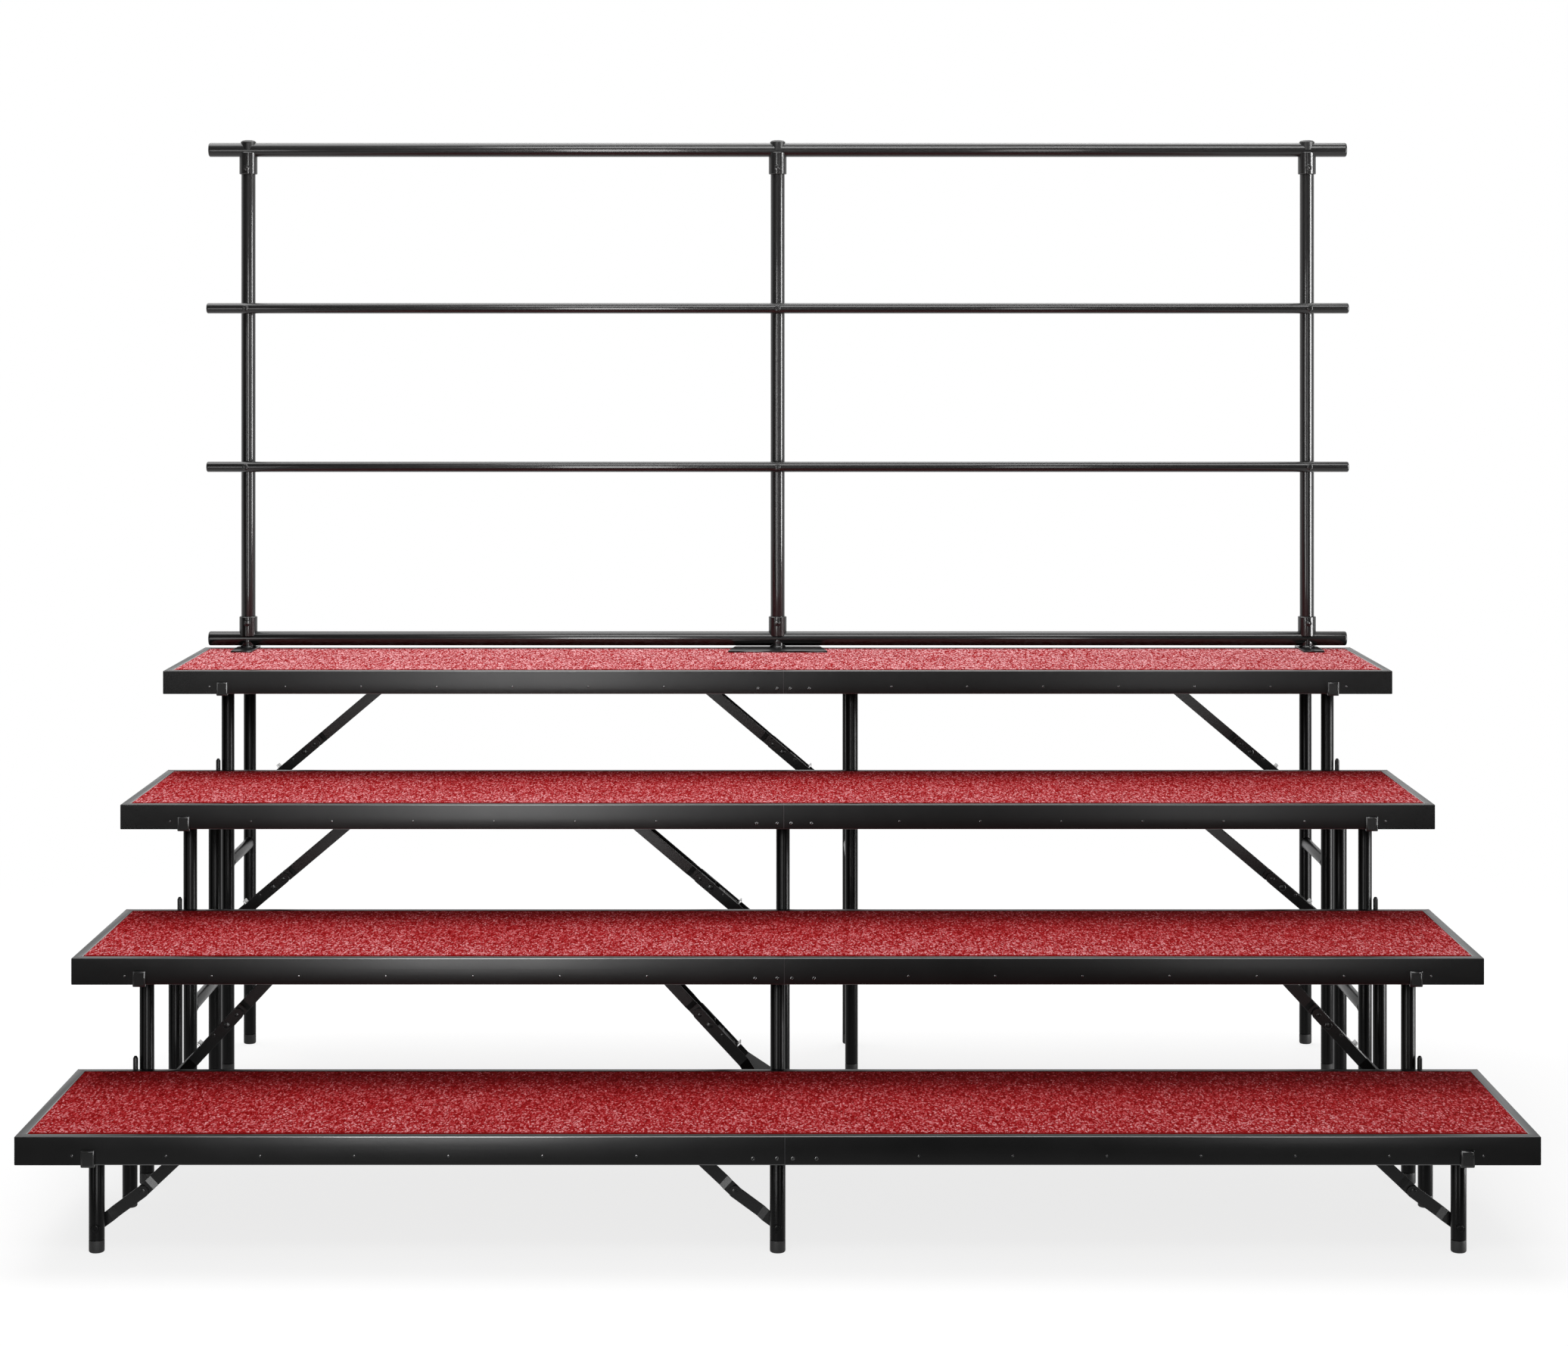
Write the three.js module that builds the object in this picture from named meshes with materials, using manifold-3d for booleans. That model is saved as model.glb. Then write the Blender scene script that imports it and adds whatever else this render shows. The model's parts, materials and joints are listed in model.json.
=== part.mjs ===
// Choir riser: four folding carpeted risers that step up from the front, with a guard rail behind the top one.
// Millimetres, +X along the decks, +Y to the back, +Z up. The origin is on the floor under the middle of the set.
import * as THREE from "three";
import { mergeVertices } from "three/addons/utils/BufferGeometryUtils.js";
import Module from "manifold-3d";

const wasm = await Module();
wasm.setup();

// Driving dimensions of the set
const rise = 203.2; // height of each step
const deckLength = 2438.4;
const deckDepth = 457.2;
const deckOverlap = 50.8; // how far a deck reaches over the one in front of it
const clearance = 0.3; // between pieces that seat on each other or turn on each other

// Deck: a board with its carpet, let into a steel edge frame
const carpetPress = 1; // how far the guard rail's plates press the pile down
const carpetThickness = 5;
const boardThickness = 15;
const frameHeight = 46;
const frameWall = 3;
const frameLip = 16.5; // width of the steel seen around the carpet
const frameLipThickness = 3;
const ledgeReach = 28; // the board rests on this flange
const ledgeThickness = 3;
const strapWidth = 40; // cross straps under the board
const splicePlateLength = 130;
const splicePlateHeight = 18;
const splicePlateThickness = 3;

// Square bracket on the front edge, in line with each end leg
const clipWidth = 22;
const clipHeight = 27;
const clipProud = 4;
const clipBelowFrame = 3;
const clipFootDepth = 18;
const clipChamfer = 2;

// Linking hook behind a deck, which keeps the end leg of the next riser in place
const hookDiameter = 9;
const hookAboveDeck = 22;
const hookBelowDeck = 24;
const hookFingerLength = 16;
const hookFingerThickness = 5;

// Leg frames: two tubes on a turning tube, and a tie tube lower down
const legDiameter = 25.4;
const tieDiameter = 22;
const legInset = 117.6; // end legs, from the end of the deck
const frontLegSetback = 66; // leg centre behind the front edge
const legSpread = 262; // front leg to rear leg
const footChamfer = 2.6;
const legTopRadius = 10; // the top of a leg is rounded so that it can turn under the board
const legTopHeight = 8;
const legTopShoulder = 2.8;
const strapToLeg = 0.4; // air between a cross strap and the leg below it
const earThickness = 4;
const earWidth = 36;
const earBelowPivot = 15;
const earInset = 32; // hinge ear, from the leg centre
const boltHeadDiameter = 14;
const boltHeadHeight = 2; // low enough to pass the deck in front as the leg folds

// Folding braces
const linkWidth = 20;
const linkThickness = 3;
const kneeInnerWidth = 48; // between the two straps of the lower link
const kneeTail = 38; // how far the lower link runs past its knee pin
const kneeStraight = 90; // the lower link's straps are parallel for this far, then part
const lugFlat = 24;
const kneePinDiameter = 8;
const pinHeadDiameter = 13;
const pinHeadHeight = 2.5;
const joggleDepth = 3.3;
const joggleLength = 10;
const joggleFromTail = 5;
const spacerDiameter = 10;
const spacerFromKnee = 110;
const anchorEarWidth = 24;
const anchorEarBelow = 11;
const shortJoggleDepth = 6;
const shortJoggleStart = 24;
const shortUpperJoggleStart = 15;

// Latch lever between the straps of a lower link
const latchPinDiameter = 5;
const latchFromKnee = 28;
const latchOffCentre = 5;
const latchWidth = 30;
const latchNose = 12;
const latchReach = 36;
const latchTabHeight = 12;
const latchThickness = 3;
const latchNotchWidth = 11;
const latchNotchDepth = 8.8;
const latchNotchShift = 1.2;

// Pivots of the braces, which differ with the height of the riser
const lowDrop = 126; // leg pivot down to the brace's lower pivot
const lowReach = 150; // leg pivot across to the brace's upper pivot
const middleDrop = 248;
const middleReach = 231;
const tallDrop = 265;
const tallReach = 314;
const middleTieDrop = 315;
const tallTieDrop = 357;
const thirdCentreShift = 10; // the centre leg of riser 3 stands this far right of the middle
const topCentreShift = 148; // and that of riser 4 this far
const lowKneeBend = THREE.MathUtils.degToRad(7); // the short braces lock a little past straight

// Guard rail
const railDiameter = 30;
const midRailDiameter = 22;
const railInset = 12.7; // the rails end this far inside the ends of the deck
const postInset = 83.5; // end posts, from the end of the rails
const railFromRearEdge = 20;
const railTopHeight = 1072; // above the top deck
const upperMidHeight = 721;
const lowerMidHeight = 386;
const bottomRailHeight = 21;
const sleeveDiameter = 38;
const topSleeveLength = 37;
const bottomSleeveLength = 32;
const plugDiameter = 32;
const plugHeight = 6;
const plateThickness = 4;
const plateDepth = 115;
const plateFlange = 30;
const endPlateWidth = 44;
const centrePlateFront = 208;
const centrePlateRear = 175;
const railBoltDiameter = 13.5;
const railBoltHeight = 4;
const railEndChamfer = 3;

// Facets
const tubeSides = 12;
const roundSides = 16;
const pinSides = 8;
const arcSteps = 2;
const weld = 1e-3;

// Worked out from the above
const boardTotal = carpetThickness + boardThickness;
const pivotBelowDeck = boardTotal + clearance + ledgeThickness + strapToLeg + legDiameter / 2;
const step = deckDepth - deckOverlap;
const setY = frontLegSetback + legSpread / 2; // middle plane of a leg frame, from the deck's front edge
const endLegX = deckLength / 2 - legInset;
const kneeStrapY = kneeInnerWidth / 2 + linkThickness / 2;
const lugY = legSpread / 2 - legDiameter / 2 - clearance - linkThickness / 2;
const upperStrapY = kneeInnerWidth / 2 - clearance - linkThickness / 2;
const upperKneeY = upperStrapY - joggleDepth;
const tieRadius = tieDiameter / 2;
const railLength = deckLength - 2 * railInset;
const postSpacing = railLength / 2 - postInset;
const postXs = [-postSpacing, 0, postSpacing];
const postNames = ["left", "centre", "right"];
const basePlateRear = railFromRearEdge + clearance + plateThickness;

const black = { color: 0x1b1b1d, roughness: 0.42, metalness: 0.6 };
const carpetRed = { color: 0xa8202c, roughness: 0.95, metalness: 0 };
const zinc = { color: 0xb4b6b8, roughness: 0.35, metalness: 0.9 };

const riserCount = 4;
const risers = [
  { short: true, drop: lowDrop, reach: lowReach, tieDrop: 0, centreShift: 0, bend: lowKneeBend },
  { short: false, drop: middleDrop, reach: middleReach, tieDrop: middleTieDrop, centreShift: 0, bend: 0 },
  { short: false, drop: tallDrop, reach: tallReach, tieDrop: tallTieDrop, centreShift: thirdCentreShift, bend: 0 },
  { short: false, drop: tallDrop, reach: tallReach, tieDrop: tallTieDrop, centreShift: topCentreShift, bend: 0 },
];
const frontY = -((riserCount - 1) * step + deckDepth + clearance + plateThickness - clipProud) / 2;

// Geometry to solid and back

function solidOf(geometry) {
  geometry.deleteAttribute("normal");
  geometry.deleteAttribute("uv");
  const merged = mergeVertices(geometry, weld);
  const vertProperties = merged.attributes.position.array;
  const triVerts = new Uint32Array(merged.index.array);
  return new wasm.Manifold(new wasm.Mesh({ numProp: 3, vertProperties, triVerts }));
}

function joined(solids) {
  return solids.reduce((whole, next) => whole.add(next));
}

function cutBy(solid, tools) {
  return tools.reduce((rest, tool) => rest.subtract(tool), solid);
}

function meshOf(solid, name, look) {
  const { vertProperties, triVerts } = solid.getMesh();
  const geometry = new THREE.BufferGeometry();
  geometry.setAttribute("position", new THREE.BufferAttribute(vertProperties, 3));
  geometry.setIndex(new THREE.BufferAttribute(triVerts, 1));
  geometry.computeVertexNormals();
  const mesh = new THREE.Mesh(geometry, new THREE.MeshStandardMaterial(look));
  mesh.name = name;
  return mesh;
}

// Simple forms

function block(x, y, z) {
  const geometry = new THREE.BoxGeometry(x[1] - x[0], y[1] - y[0], z[1] - z[0]);
  return solidOf(geometry.translate((x[0] + x[1]) / 2, (y[0] + y[1]) / 2, (z[0] + z[1]) / 2));
}

function rodAlongY(x, z, y, radius, sides) {
  const geometry = new THREE.CylinderGeometry(radius, radius, y[1] - y[0], sides);
  return solidOf(geometry.translate(x, (y[0] + y[1]) / 2, z));
}

function rodAlongZ(x, y, z, radius, sides) {
  const geometry = new THREE.CylinderGeometry(radius, radius, z[1] - z[0], sides).rotateX(Math.PI / 2);
  return solidOf(geometry.translate(x, y, (z[0] + z[1]) / 2));
}

// A turned form about the Z axis, from [radius, height] pairs listed upwards.
function turned(profile, sides) {
  const points = profile.map(([radius, height]) => new THREE.Vector2(radius, height));
  return solidOf(new THREE.LatheGeometry(points, sides).rotateX(Math.PI / 2));
}

// An outline in X and Z, given a thickness along Y between y[0] and y[1].
function plateAcrossY(shape, y) {
  const options = { depth: y[1] - y[0], bevelEnabled: false, curveSegments: arcSteps };
  const geometry = new THREE.ExtrudeGeometry(shape, options).rotateX(Math.PI / 2);
  return solidOf(geometry.translate(0, y[1], 0));
}

function shapeFrom(points) {
  return new THREE.Shape(points.map(([x, y]) => new THREE.Vector2(x, y)));
}

// The outer radius of a faceted hole that keeps a round pin of this radius clear at every angle.
function holeRadius(pinRadius, sides) {
  return (pinRadius + clearance) / Math.cos(Math.PI / sides);
}

// Folding brace: lengths of the two links, and the place of the knee.
// The leg pivot is at zero, the lower pivot straight below it and the upper pivot straight across.
function braceLayout({ drop, reach, bend }) {
  const span = Math.hypot(drop, reach);
  const difference = reach - drop;
  const cosine = Math.cos(bend);
  const total = Math.sqrt((span ** 2 - (difference ** 2 * (1 - cosine)) / 2) / ((1 + cosine) / 2));
  const lower = (total - difference) / 2;
  const upper = (total + difference) / 2;
  const along = (lower ** 2 - upper ** 2 + span ** 2) / (2 * span);
  const sag = Math.sqrt(Math.max(0, lower ** 2 - along ** 2));
  const kneeX = (along * reach + sag * drop) / span;
  const kneeZ = -drop + (along * drop - sag * reach) / span;
  const lowerTurn = Math.atan2(kneeZ + drop, kneeX) + Math.PI;
  const upperTurn = Math.atan2(-kneeZ, reach - kneeX) + Math.PI;
  return { lower, upper, kneeX, kneeZ, lowerTurn, upperTurn };
}

// A bent strap: its centre line in X and Y with a thickness, as wide as the link, with round ends.
function bentStrap(line, width = linkWidth) {
  const half = linkThickness / 2;
  const points = line.map(([x, y]) => new THREE.Vector2(x, y));
  const left = [];
  const right = [];
  points.forEach((point, i) => {
    const before = points[Math.max(0, i - 1)];
    const after = points[Math.min(points.length - 1, i + 1)];
    const into = (i ? point.clone().sub(before) : after.clone().sub(point)).normalize();
    const out = (i < points.length - 1 ? after.clone().sub(point) : into.clone()).normalize();
    const mitre = into.clone().add(out).normalize();
    const normal = new THREE.Vector2(-mitre.y, mitre.x).multiplyScalar(half / mitre.dot(into));
    left.push(point.clone().add(normal));
    right.unshift(point.clone().sub(normal));
  });
  const side = new THREE.ExtrudeGeometry(new THREE.Shape([...left, ...right]), {
    depth: width,
    bevelEnabled: false,
  });
  const xs = points.map((point) => point.x);
  const ys = points.map((point) => point.y);
  const radius = width / 2;
  const outline = new THREE.Shape();
  outline.absarc(Math.min(...xs) + radius, 0, radius, Math.PI / 2, (3 * Math.PI) / 2, false);
  outline.absarc(Math.max(...xs) - radius, 0, radius, -Math.PI / 2, Math.PI / 2, false);
  const reachY = [Math.min(...ys) - linkThickness, Math.max(...ys) + linkThickness];
  return solidOf(side.translate(0, 0, -width / 2)).intersect(plateAcrossY(outline, reachY));
}

function mirroredLine(line) {
  return line.map(([x, y]) => [x, -y]);
}

// Leg frame, with its pivot at zero. A tall one has a tie tube as well.
function legFrame(floorDrop, riser) {
  const radius = legDiameter / 2;
  const profile = [
    [0, -floorDrop],
    [radius - footChamfer, -floorDrop],
    [radius, footChamfer - floorDrop],
    [radius, legTopShoulder],
    [legTopRadius, legTopHeight],
    [0, legTopHeight],
  ];
  const pieces = [];
  for (const side of [-1, 1]) {
    const y = (side * legSpread) / 2;
    const leg = turned(profile, tubeSides).translate([0, y, 0]);
    pieces.push(leg);
    const head = [y + side * (radius - boltHeadHeight / 2), y + side * (radius + boltHeadHeight)];
    head.sort((a, b) => a - b);
    pieces.push(rodAlongY(0, -riser.drop, head, boltHeadDiameter / 2, pinSides));
  }
  pieces.push(rodAlongY(0, 0, [-legSpread / 2, legSpread / 2], tieRadius, tubeSides));
  if (riser.tieDrop) {
    pieces.push(rodAlongY(0, -riser.tieDrop, [-legSpread / 2, legSpread / 2], tieRadius, tubeSides));
  }
  return joined(pieces);
}

// Lower link of a tall brace: two straps on a knee pin that part towards the two legs. Knee at zero.
function lowerLink(layout) {
  const line = [
    [-kneeTail, kneeStrapY],
    [kneeStraight, kneeStrapY],
    [layout.lower - lugFlat / 2, lugY],
    [layout.lower + linkWidth / 2, lugY],
  ];
  const outer = kneeInnerWidth / 2 + linkThickness;
  const headRange = outer + pinHeadHeight;
  const pin = rodAlongY(0, 0, [-headRange, headRange], kneePinDiameter / 2, pinSides);
  const pieces = [bentStrap(line), bentStrap(mirroredLine(line)), pin];
  for (const side of [-1, 1]) {
    const head = [side * (outer - linkThickness / 2), side * headRange].sort((a, b) => a - b);
    pieces.push(rodAlongY(0, 0, head, pinHeadDiameter / 2, pinSides));
  }
  const holeRange = [-headRange, headRange];
  const latchHole = rodAlongY(
    latchFromKnee,
    -latchOffCentre,
    holeRange,
    holeRadius(latchPinDiameter / 2, pinSides),
    pinSides,
  );
  return cutBy(joined(pieces), [latchHole]);
}

// Upper link of a tall brace: two straps that step in at the knee, on a pin at the deck. Anchor at zero.
function upperLink(layout) {
  const joggleEnd = layout.upper - kneeTail - joggleFromTail;
  const line = [
    [-linkWidth / 2, upperStrapY],
    [joggleEnd - joggleLength, upperStrapY],
    [joggleEnd, upperKneeY],
    [layout.upper + linkWidth / 2, upperKneeY],
  ];
  const earOuter = kneeInnerWidth / 2 + clearance + linkThickness;
  const headRange = earOuter + clearance + pinHeadHeight;
  const pieces = [bentStrap(line), bentStrap(mirroredLine(line))];
  pieces.push(rodAlongY(0, 0, [-headRange, headRange], kneePinDiameter / 2, pinSides));
  const spacerX = layout.upper - spacerFromKnee;
  pieces.push(rodAlongY(spacerX, 0, [-upperStrapY, upperStrapY], spacerDiameter / 2, pinSides));
  for (const side of [-1, 1]) {
    const head = [side * (earOuter + clearance), side * headRange].sort((a, b) => a - b);
    pieces.push(rodAlongY(0, 0, head, pinHeadDiameter / 2, pinSides));
  }
  const holeRange = [-headRange, headRange];
  const kneeHole = rodAlongY(
    layout.upper,
    0,
    holeRange,
    holeRadius(kneePinDiameter / 2, pinSides),
    pinSides,
  );
  const notchX = layout.upper - latchFromKnee + latchNotchShift;
  const notch = block(
    [notchX - latchNotchWidth / 2, notchX + latchNotchWidth / 2],
    holeRange,
    [linkWidth / 2 - latchNotchDepth, linkWidth],
  );
  return cutBy(joined(pieces), [kneeHole, notch]);
}

// Short brace of the lowest riser: single straps beside one leg. side is -1 where that leg is at low Y.
function shortLowerLink(layout, side) {
  const lineY = side * lugY;
  const mainY = side * (lugY - shortJoggleDepth);
  const line = [
    [-linkWidth / 2, mainY],
    [layout.lower - shortJoggleStart - joggleLength, mainY],
    [layout.lower - shortJoggleStart, lineY],
    [layout.lower + linkWidth / 2, lineY],
  ];
  const backY = side * (lugY - shortJoggleDepth - linkThickness * 1.5 - 2 * clearance);
  const endY = backY - side * pinHeadHeight;
  const pin = [mainY, endY].sort((a, b) => a - b);
  const head = [backY, endY].sort((a, b) => a - b);
  return joined([
    bentStrap(line),
    rodAlongY(0, 0, pin, kneePinDiameter / 2, pinSides),
    rodAlongY(0, 0, head, pinHeadDiameter / 2, pinSides),
  ]);
}

function shortUpperLink(layout, side) {
  const kneeY = side * (lugY - shortJoggleDepth - linkThickness - clearance);
  const mainY = kneeY - side * joggleDepth;
  const line = [
    [-linkWidth / 2, mainY],
    [layout.upper - shortUpperJoggleStart - joggleLength, mainY],
    [layout.upper - shortUpperJoggleStart, kneeY],
    [layout.upper + linkWidth / 2, kneeY],
  ];
  const earBack = mainY - side * (linkThickness * 1.5 + 2 * clearance);
  const pinEnd = earBack - side * pinHeadHeight;
  const pin = [mainY, pinEnd].sort((a, b) => a - b);
  const head = [earBack, pinEnd].sort((a, b) => a - b);
  const solid = joined([
    bentStrap(line),
    rodAlongY(0, 0, pin, kneePinDiameter / 2, pinSides),
    rodAlongY(0, 0, head, pinHeadDiameter / 2, pinSides),
  ]);
  const reach = [kneeY - linkThickness, kneeY + linkThickness];
  const hole = rodAlongY(layout.upper, 0, reach, holeRadius(kneePinDiameter / 2, pinSides), pinSides);
  return cutBy(solid, [hole]);
}

// Latch lever with its pin at zero; the finger tab stands above the link's edge.
function latchLever() {
  const half = latchThickness;
  const tabRoot = latchReach - 2 * latchThickness;
  const outline = shapeFrom([
    [-latchNose, -half],
    [tabRoot - half, -half],
    [tabRoot, -latchTabHeight],
    [latchReach, -latchTabHeight],
    [latchReach, half],
    [0, half],
    [-latchNose, 0],
  ]);
  const outer = kneeInnerWidth / 2 + linkThickness + clearance;
  return joined([
    plateAcrossY(outline, [-latchWidth / 2, latchWidth / 2]),
    rodAlongY(0, 0, [-outer, outer], latchPinDiameter / 2, pinSides),
  ]);
}

// A hanging ear with a pin hole, under a cross strap whose underside is at height top. Pivot at zero.
function ear(x, y, z, width, below, top, pinRadius, sides) {
  const half = width / 2;
  const shape = shapeFrom([
    [x - half, z + top],
    [x - half, z - below / 2],
    [x - half / 2, z - below],
    [x + half / 2, z - below],
    [x + half, z - below / 2],
    [x + half, z + top],
  ]);
  const bore = rodAlongY(x, z, [y[0] - earThickness, y[1] + earThickness], holeRadius(pinRadius, sides), sides);
  return plateAcrossY(shape, y).subtract(bore);
}

// Where each leg frame of a riser stands: its pivot's X, and the way it folds.
function legSets(riser) {
  return [
    { name: "left", x: -endLegX, way: 1 },
    { name: "centre", x: riser.centreShift, way: -1 },
    { name: "right", x: endLegX, way: -1 },
  ];
}

// Steel edge frame with its cross straps, hinge ears, anchor ears, brackets and hooks. Top at zero, front edge at y 0.
function deckFrame(riser, hasHooks) {
  const halfLength = deckLength / 2;
  const ledgeTop = -boardTotal - clearance;
  const ledgeBottom = ledgeTop - ledgeThickness;
  const over = frameWall; // overrun of the cutting blocks
  const ring = (inset, bottom, top) =>
    block([inset - halfLength, halfLength - inset], [inset, deckDepth - inset], [bottom, top]);
  // The flange under the board is cut away between the cross straps.
  const strapXs = legSets(riser).flatMap((set) => [set.x, set.x + set.way * riser.reach]);
  strapXs.sort((a, b) => a - b);
  const bayStarts = [ledgeReach - halfLength, ...strapXs.map((x) => x + strapWidth / 2)];
  const bayEnds = [...strapXs.map((x) => x - strapWidth / 2), halfLength - ledgeReach];
  const bays = bayStarts.map((start, i) =>
    block([start, bayEnds[i]], [ledgeReach, deckDepth - ledgeReach], [ledgeBottom - over, ledgeTop + over]),
  );
  const frame = cutBy(ring(0, -frameHeight, 0), [
    ring(frameWall, -frameHeight - over, ledgeBottom),
    ring(frameWall, ledgeTop, -frameLipThickness),
    ring(frameLip, -frameLipThickness - over, over),
    ...bays,
  ]);
  const pieces = [frame];
  const pivotZ = -pivotBelowDeck;
  const earTop = ledgeBottom - pivotZ + ledgeThickness / 2;
  for (const set of legSets(riser)) {
    const anchorX = set.x + set.way * riser.reach;
    for (const side of [-1, 1]) {
      const y = setY + side * (legSpread / 2 - earInset);
      const range = [y - earThickness / 2, y + earThickness / 2];
      pieces.push(ear(set.x, range, pivotZ, earWidth, earBelowPivot, earTop, tieRadius, tubeSides));
    }
    const pinRadius = kneePinDiameter / 2;
    const anchor = (y) => ear(anchorX, y, pivotZ, anchorEarWidth, anchorEarBelow, earTop, pinRadius, pinSides);
    if (riser.short) {
      const front = setY - lugY + shortJoggleDepth + joggleDepth + linkThickness * 1.5 + 2 * clearance;
      pieces.push(anchor([front, front + linkThickness]));
    } else {
      const inner = kneeInnerWidth / 2 + clearance;
      pieces.push(anchor([setY - inner - linkThickness, setY - inner]));
      pieces.push(anchor([setY + inner, setY + inner + linkThickness]));
    }
  }
  const plateBottom = frameWall - frameHeight;
  const plateZ = [plateBottom, plateBottom + splicePlateHeight];
  const halfPlate = splicePlateLength / 2;
  for (const y of [frameWall, deckDepth - frameWall - splicePlateThickness]) {
    const plateY = [y - clearance, y + splicePlateThickness + clearance];
    pieces.push(block([-halfPlate, halfPlate], plateY, plateZ));
  }
  for (const side of [-1, 1]) {
    pieces.push(frontClip(side * endLegX));
    if (hasHooks) pieces.push(linkHook(side));
  }
  return joined(pieces);
}

// The square bracket hooks under the front edge.
function frontClip(x) {
  const half = clipWidth / 2;
  const bottom = -frameHeight - clipBelowFrame;
  const top = bottom + clipHeight;
  const face = shapeFrom([
    [x - half + clipChamfer, bottom],
    [x + half - clipChamfer, bottom],
    [x + half, bottom + clipChamfer],
    [x + half, top - clipChamfer],
    [x + half - clipChamfer, top],
    [x - half + clipChamfer, top],
    [x - half, top - clipChamfer],
    [x - half, bottom + clipChamfer],
  ]);
  const footX = [x - half + clipChamfer, x + half - clipChamfer];
  const footZ = [bottom + clipChamfer / 2, bottom + clipBelowFrame + frameWall];
  const foot = block(footX, [-clipProud / 2, clipFootDepth], footZ);
  return plateAcrossY(face, [-clipProud, frameWall / 2]).add(foot);
}

// A peg that rises beside the next riser's end leg, and a finger that passes behind the leg.
function linkHook(side) {
  const radius = hookDiameter / 2;
  const legY = deckDepth - deckOverlap + frontLegSetback;
  const x = side * (endLegX + legDiameter / 2 + clearance * 2 + radius);
  const pegY = deckDepth + clearance + radius;
  const fingerY = legY + legDiameter / 2 + clearance * 2;
  const low = -hookBelowDeck;
  const high = hookFingerThickness - hookBelowDeck;
  const inner = x - side * (hookFingerLength + radius);
  const peg = turned(
    [
      [0, low - frameWall],
      [radius, low - frameWall],
      [radius, hookAboveDeck - radius],
      [radius / 2, hookAboveDeck - clearance],
      [0, hookAboveDeck],
    ],
    tubeSides,
  ).translate([x, pegY, 0]);
  const half = (side * hookFingerThickness) / 2;
  const start = deckDepth - frameWall / 2;
  const outline = shapeFrom([
    [x - half, start],
    [x + half, start],
    [x + half, fingerY + hookFingerThickness],
    [inner, fingerY + hookFingerThickness],
    [inner, fingerY],
    [x - half, fingerY],
  ]);
  const options = { depth: high - low, bevelEnabled: false };
  return peg.add(solidOf(new THREE.ExtrudeGeometry(outline, options).translate(0, 0, low)));
}

// Board with its carpet. Top at zero. The guard rail's base plates press the pile down.
function carpetedBoard(underGuard) {
  const inset = frameLip + clearance;
  const halfLength = deckLength / 2 - inset;
  const board = block([-halfLength, halfLength], [inset, deckDepth - inset], [-boardTotal, 0]);
  if (!underGuard) return board;
  const options = { depth: carpetPress + frameWall, bevelEnabled: false };
  const prints = postXs.map((x, i) => {
    const outline = new THREE.ExtrudeGeometry(basePlateOutline(x, i, 2 * clearance), options);
    return solidOf(outline.translate(0, deckDepth - railFromRearEdge, -carpetPress));
  });
  return cutBy(board, prints);
}

// Horizontal rail along X with chamfered ends, at zero.
function rail(diameter) {
  const radius = diameter / 2;
  const half = railLength / 2;
  const profile = [
    [0, -half],
    [radius - railEndChamfer, -half],
    [radius, railEndChamfer - half],
    [radius, half - railEndChamfer],
    [radius - railEndChamfer, half],
    [0, half],
  ];
  return turned(profile, roundSides).rotate([0, 90, 0]);
}

const topRailHeight = railTopHeight - railDiameter / 2;

// Sleeve that holds a post, from the middle of a rail at zero, upwards or downwards.
function sleeve(x, length, way) {
  const end = way * (railDiameter / 2 + length);
  const z = [0, end].sort((a, b) => a - b);
  return rodAlongZ(x, 0, z, sleeveDiameter / 2, roundSides);
}

function sleeveBore(x, length, way) {
  const start = way * (railDiameter / 2 + clearance);
  const end = way * (railDiameter / 2 + length * 2);
  const z = [start, end].sort((a, b) => a - b);
  return rodAlongZ(x, 0, z, holeRadius(railDiameter / 2, roundSides), roundSides);
}

function topRail() {
  const pieces = [rail(railDiameter)];
  const bores = [];
  for (const x of postXs) {
    pieces.push(sleeve(x, topSleeveLength, -1));
    const radius = railDiameter / 2;
    const plug = turned(
      [
        [0, 0],
        [plugDiameter / 2, 0],
        [plugDiameter / 2, radius + plugHeight / 3],
        [plugDiameter / 3, radius + plugHeight],
        [0, radius + plugHeight],
      ],
      roundSides,
    );
    pieces.push(plug.translate([x, 0, 0]));
    bores.push(sleeveBore(x, topSleeveLength, -1));
  }
  return cutBy(joined(pieces), bores);
}

// Seen from above, with the rail at zero. The middle plate is wider and tapers to the rear.
function basePlateOutline(x, i, spread) {
  const centre = postNames[i] === "centre";
  const halfFront = (centre ? centrePlateFront : endPlateWidth) / 2 + spread;
  const halfRear = (centre ? centrePlateRear : endPlateWidth) / 2 + spread;
  return shapeFrom([
    [x - halfFront, basePlateRear - plateDepth - spread],
    [x + halfFront, basePlateRear - plateDepth - spread],
    [x + halfRear, basePlateRear],
    [x - halfRear, basePlateRear],
  ]);
}

// Bottom rail with the sleeves above it, and under each a stub on a base plate that hooks over the deck's rear edge.
function bottomRail() {
  const pieces = [rail(railDiameter)];
  const bores = [];
  const plateBottom = clearance - bottomRailHeight;
  const plateTop = plateBottom + plateThickness;
  postXs.forEach((x, i) => {
    pieces.push(sleeve(x, bottomSleeveLength, 1));
    bores.push(sleeveBore(x, bottomSleeveLength, 1));
    pieces.push(rodAlongZ(x, 0, [plateBottom, 0], railDiameter / 2, roundSides));
    const options = { depth: plateThickness, bevelEnabled: false };
    const plate = new THREE.ExtrudeGeometry(basePlateOutline(x, i, 0), options);
    pieces.push(solidOf(plate.translate(0, 0, plateBottom)));
    const halfRear = (postNames[i] === "centre" ? centrePlateRear : endPlateWidth) / 2;
    const flange = [basePlateRear - plateThickness, basePlateRear];
    pieces.push(block([x - halfRear, x + halfRear], flange, [plateTop - plateFlange, plateTop]));
  });
  return cutBy(joined(pieces), bores);
}

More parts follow.
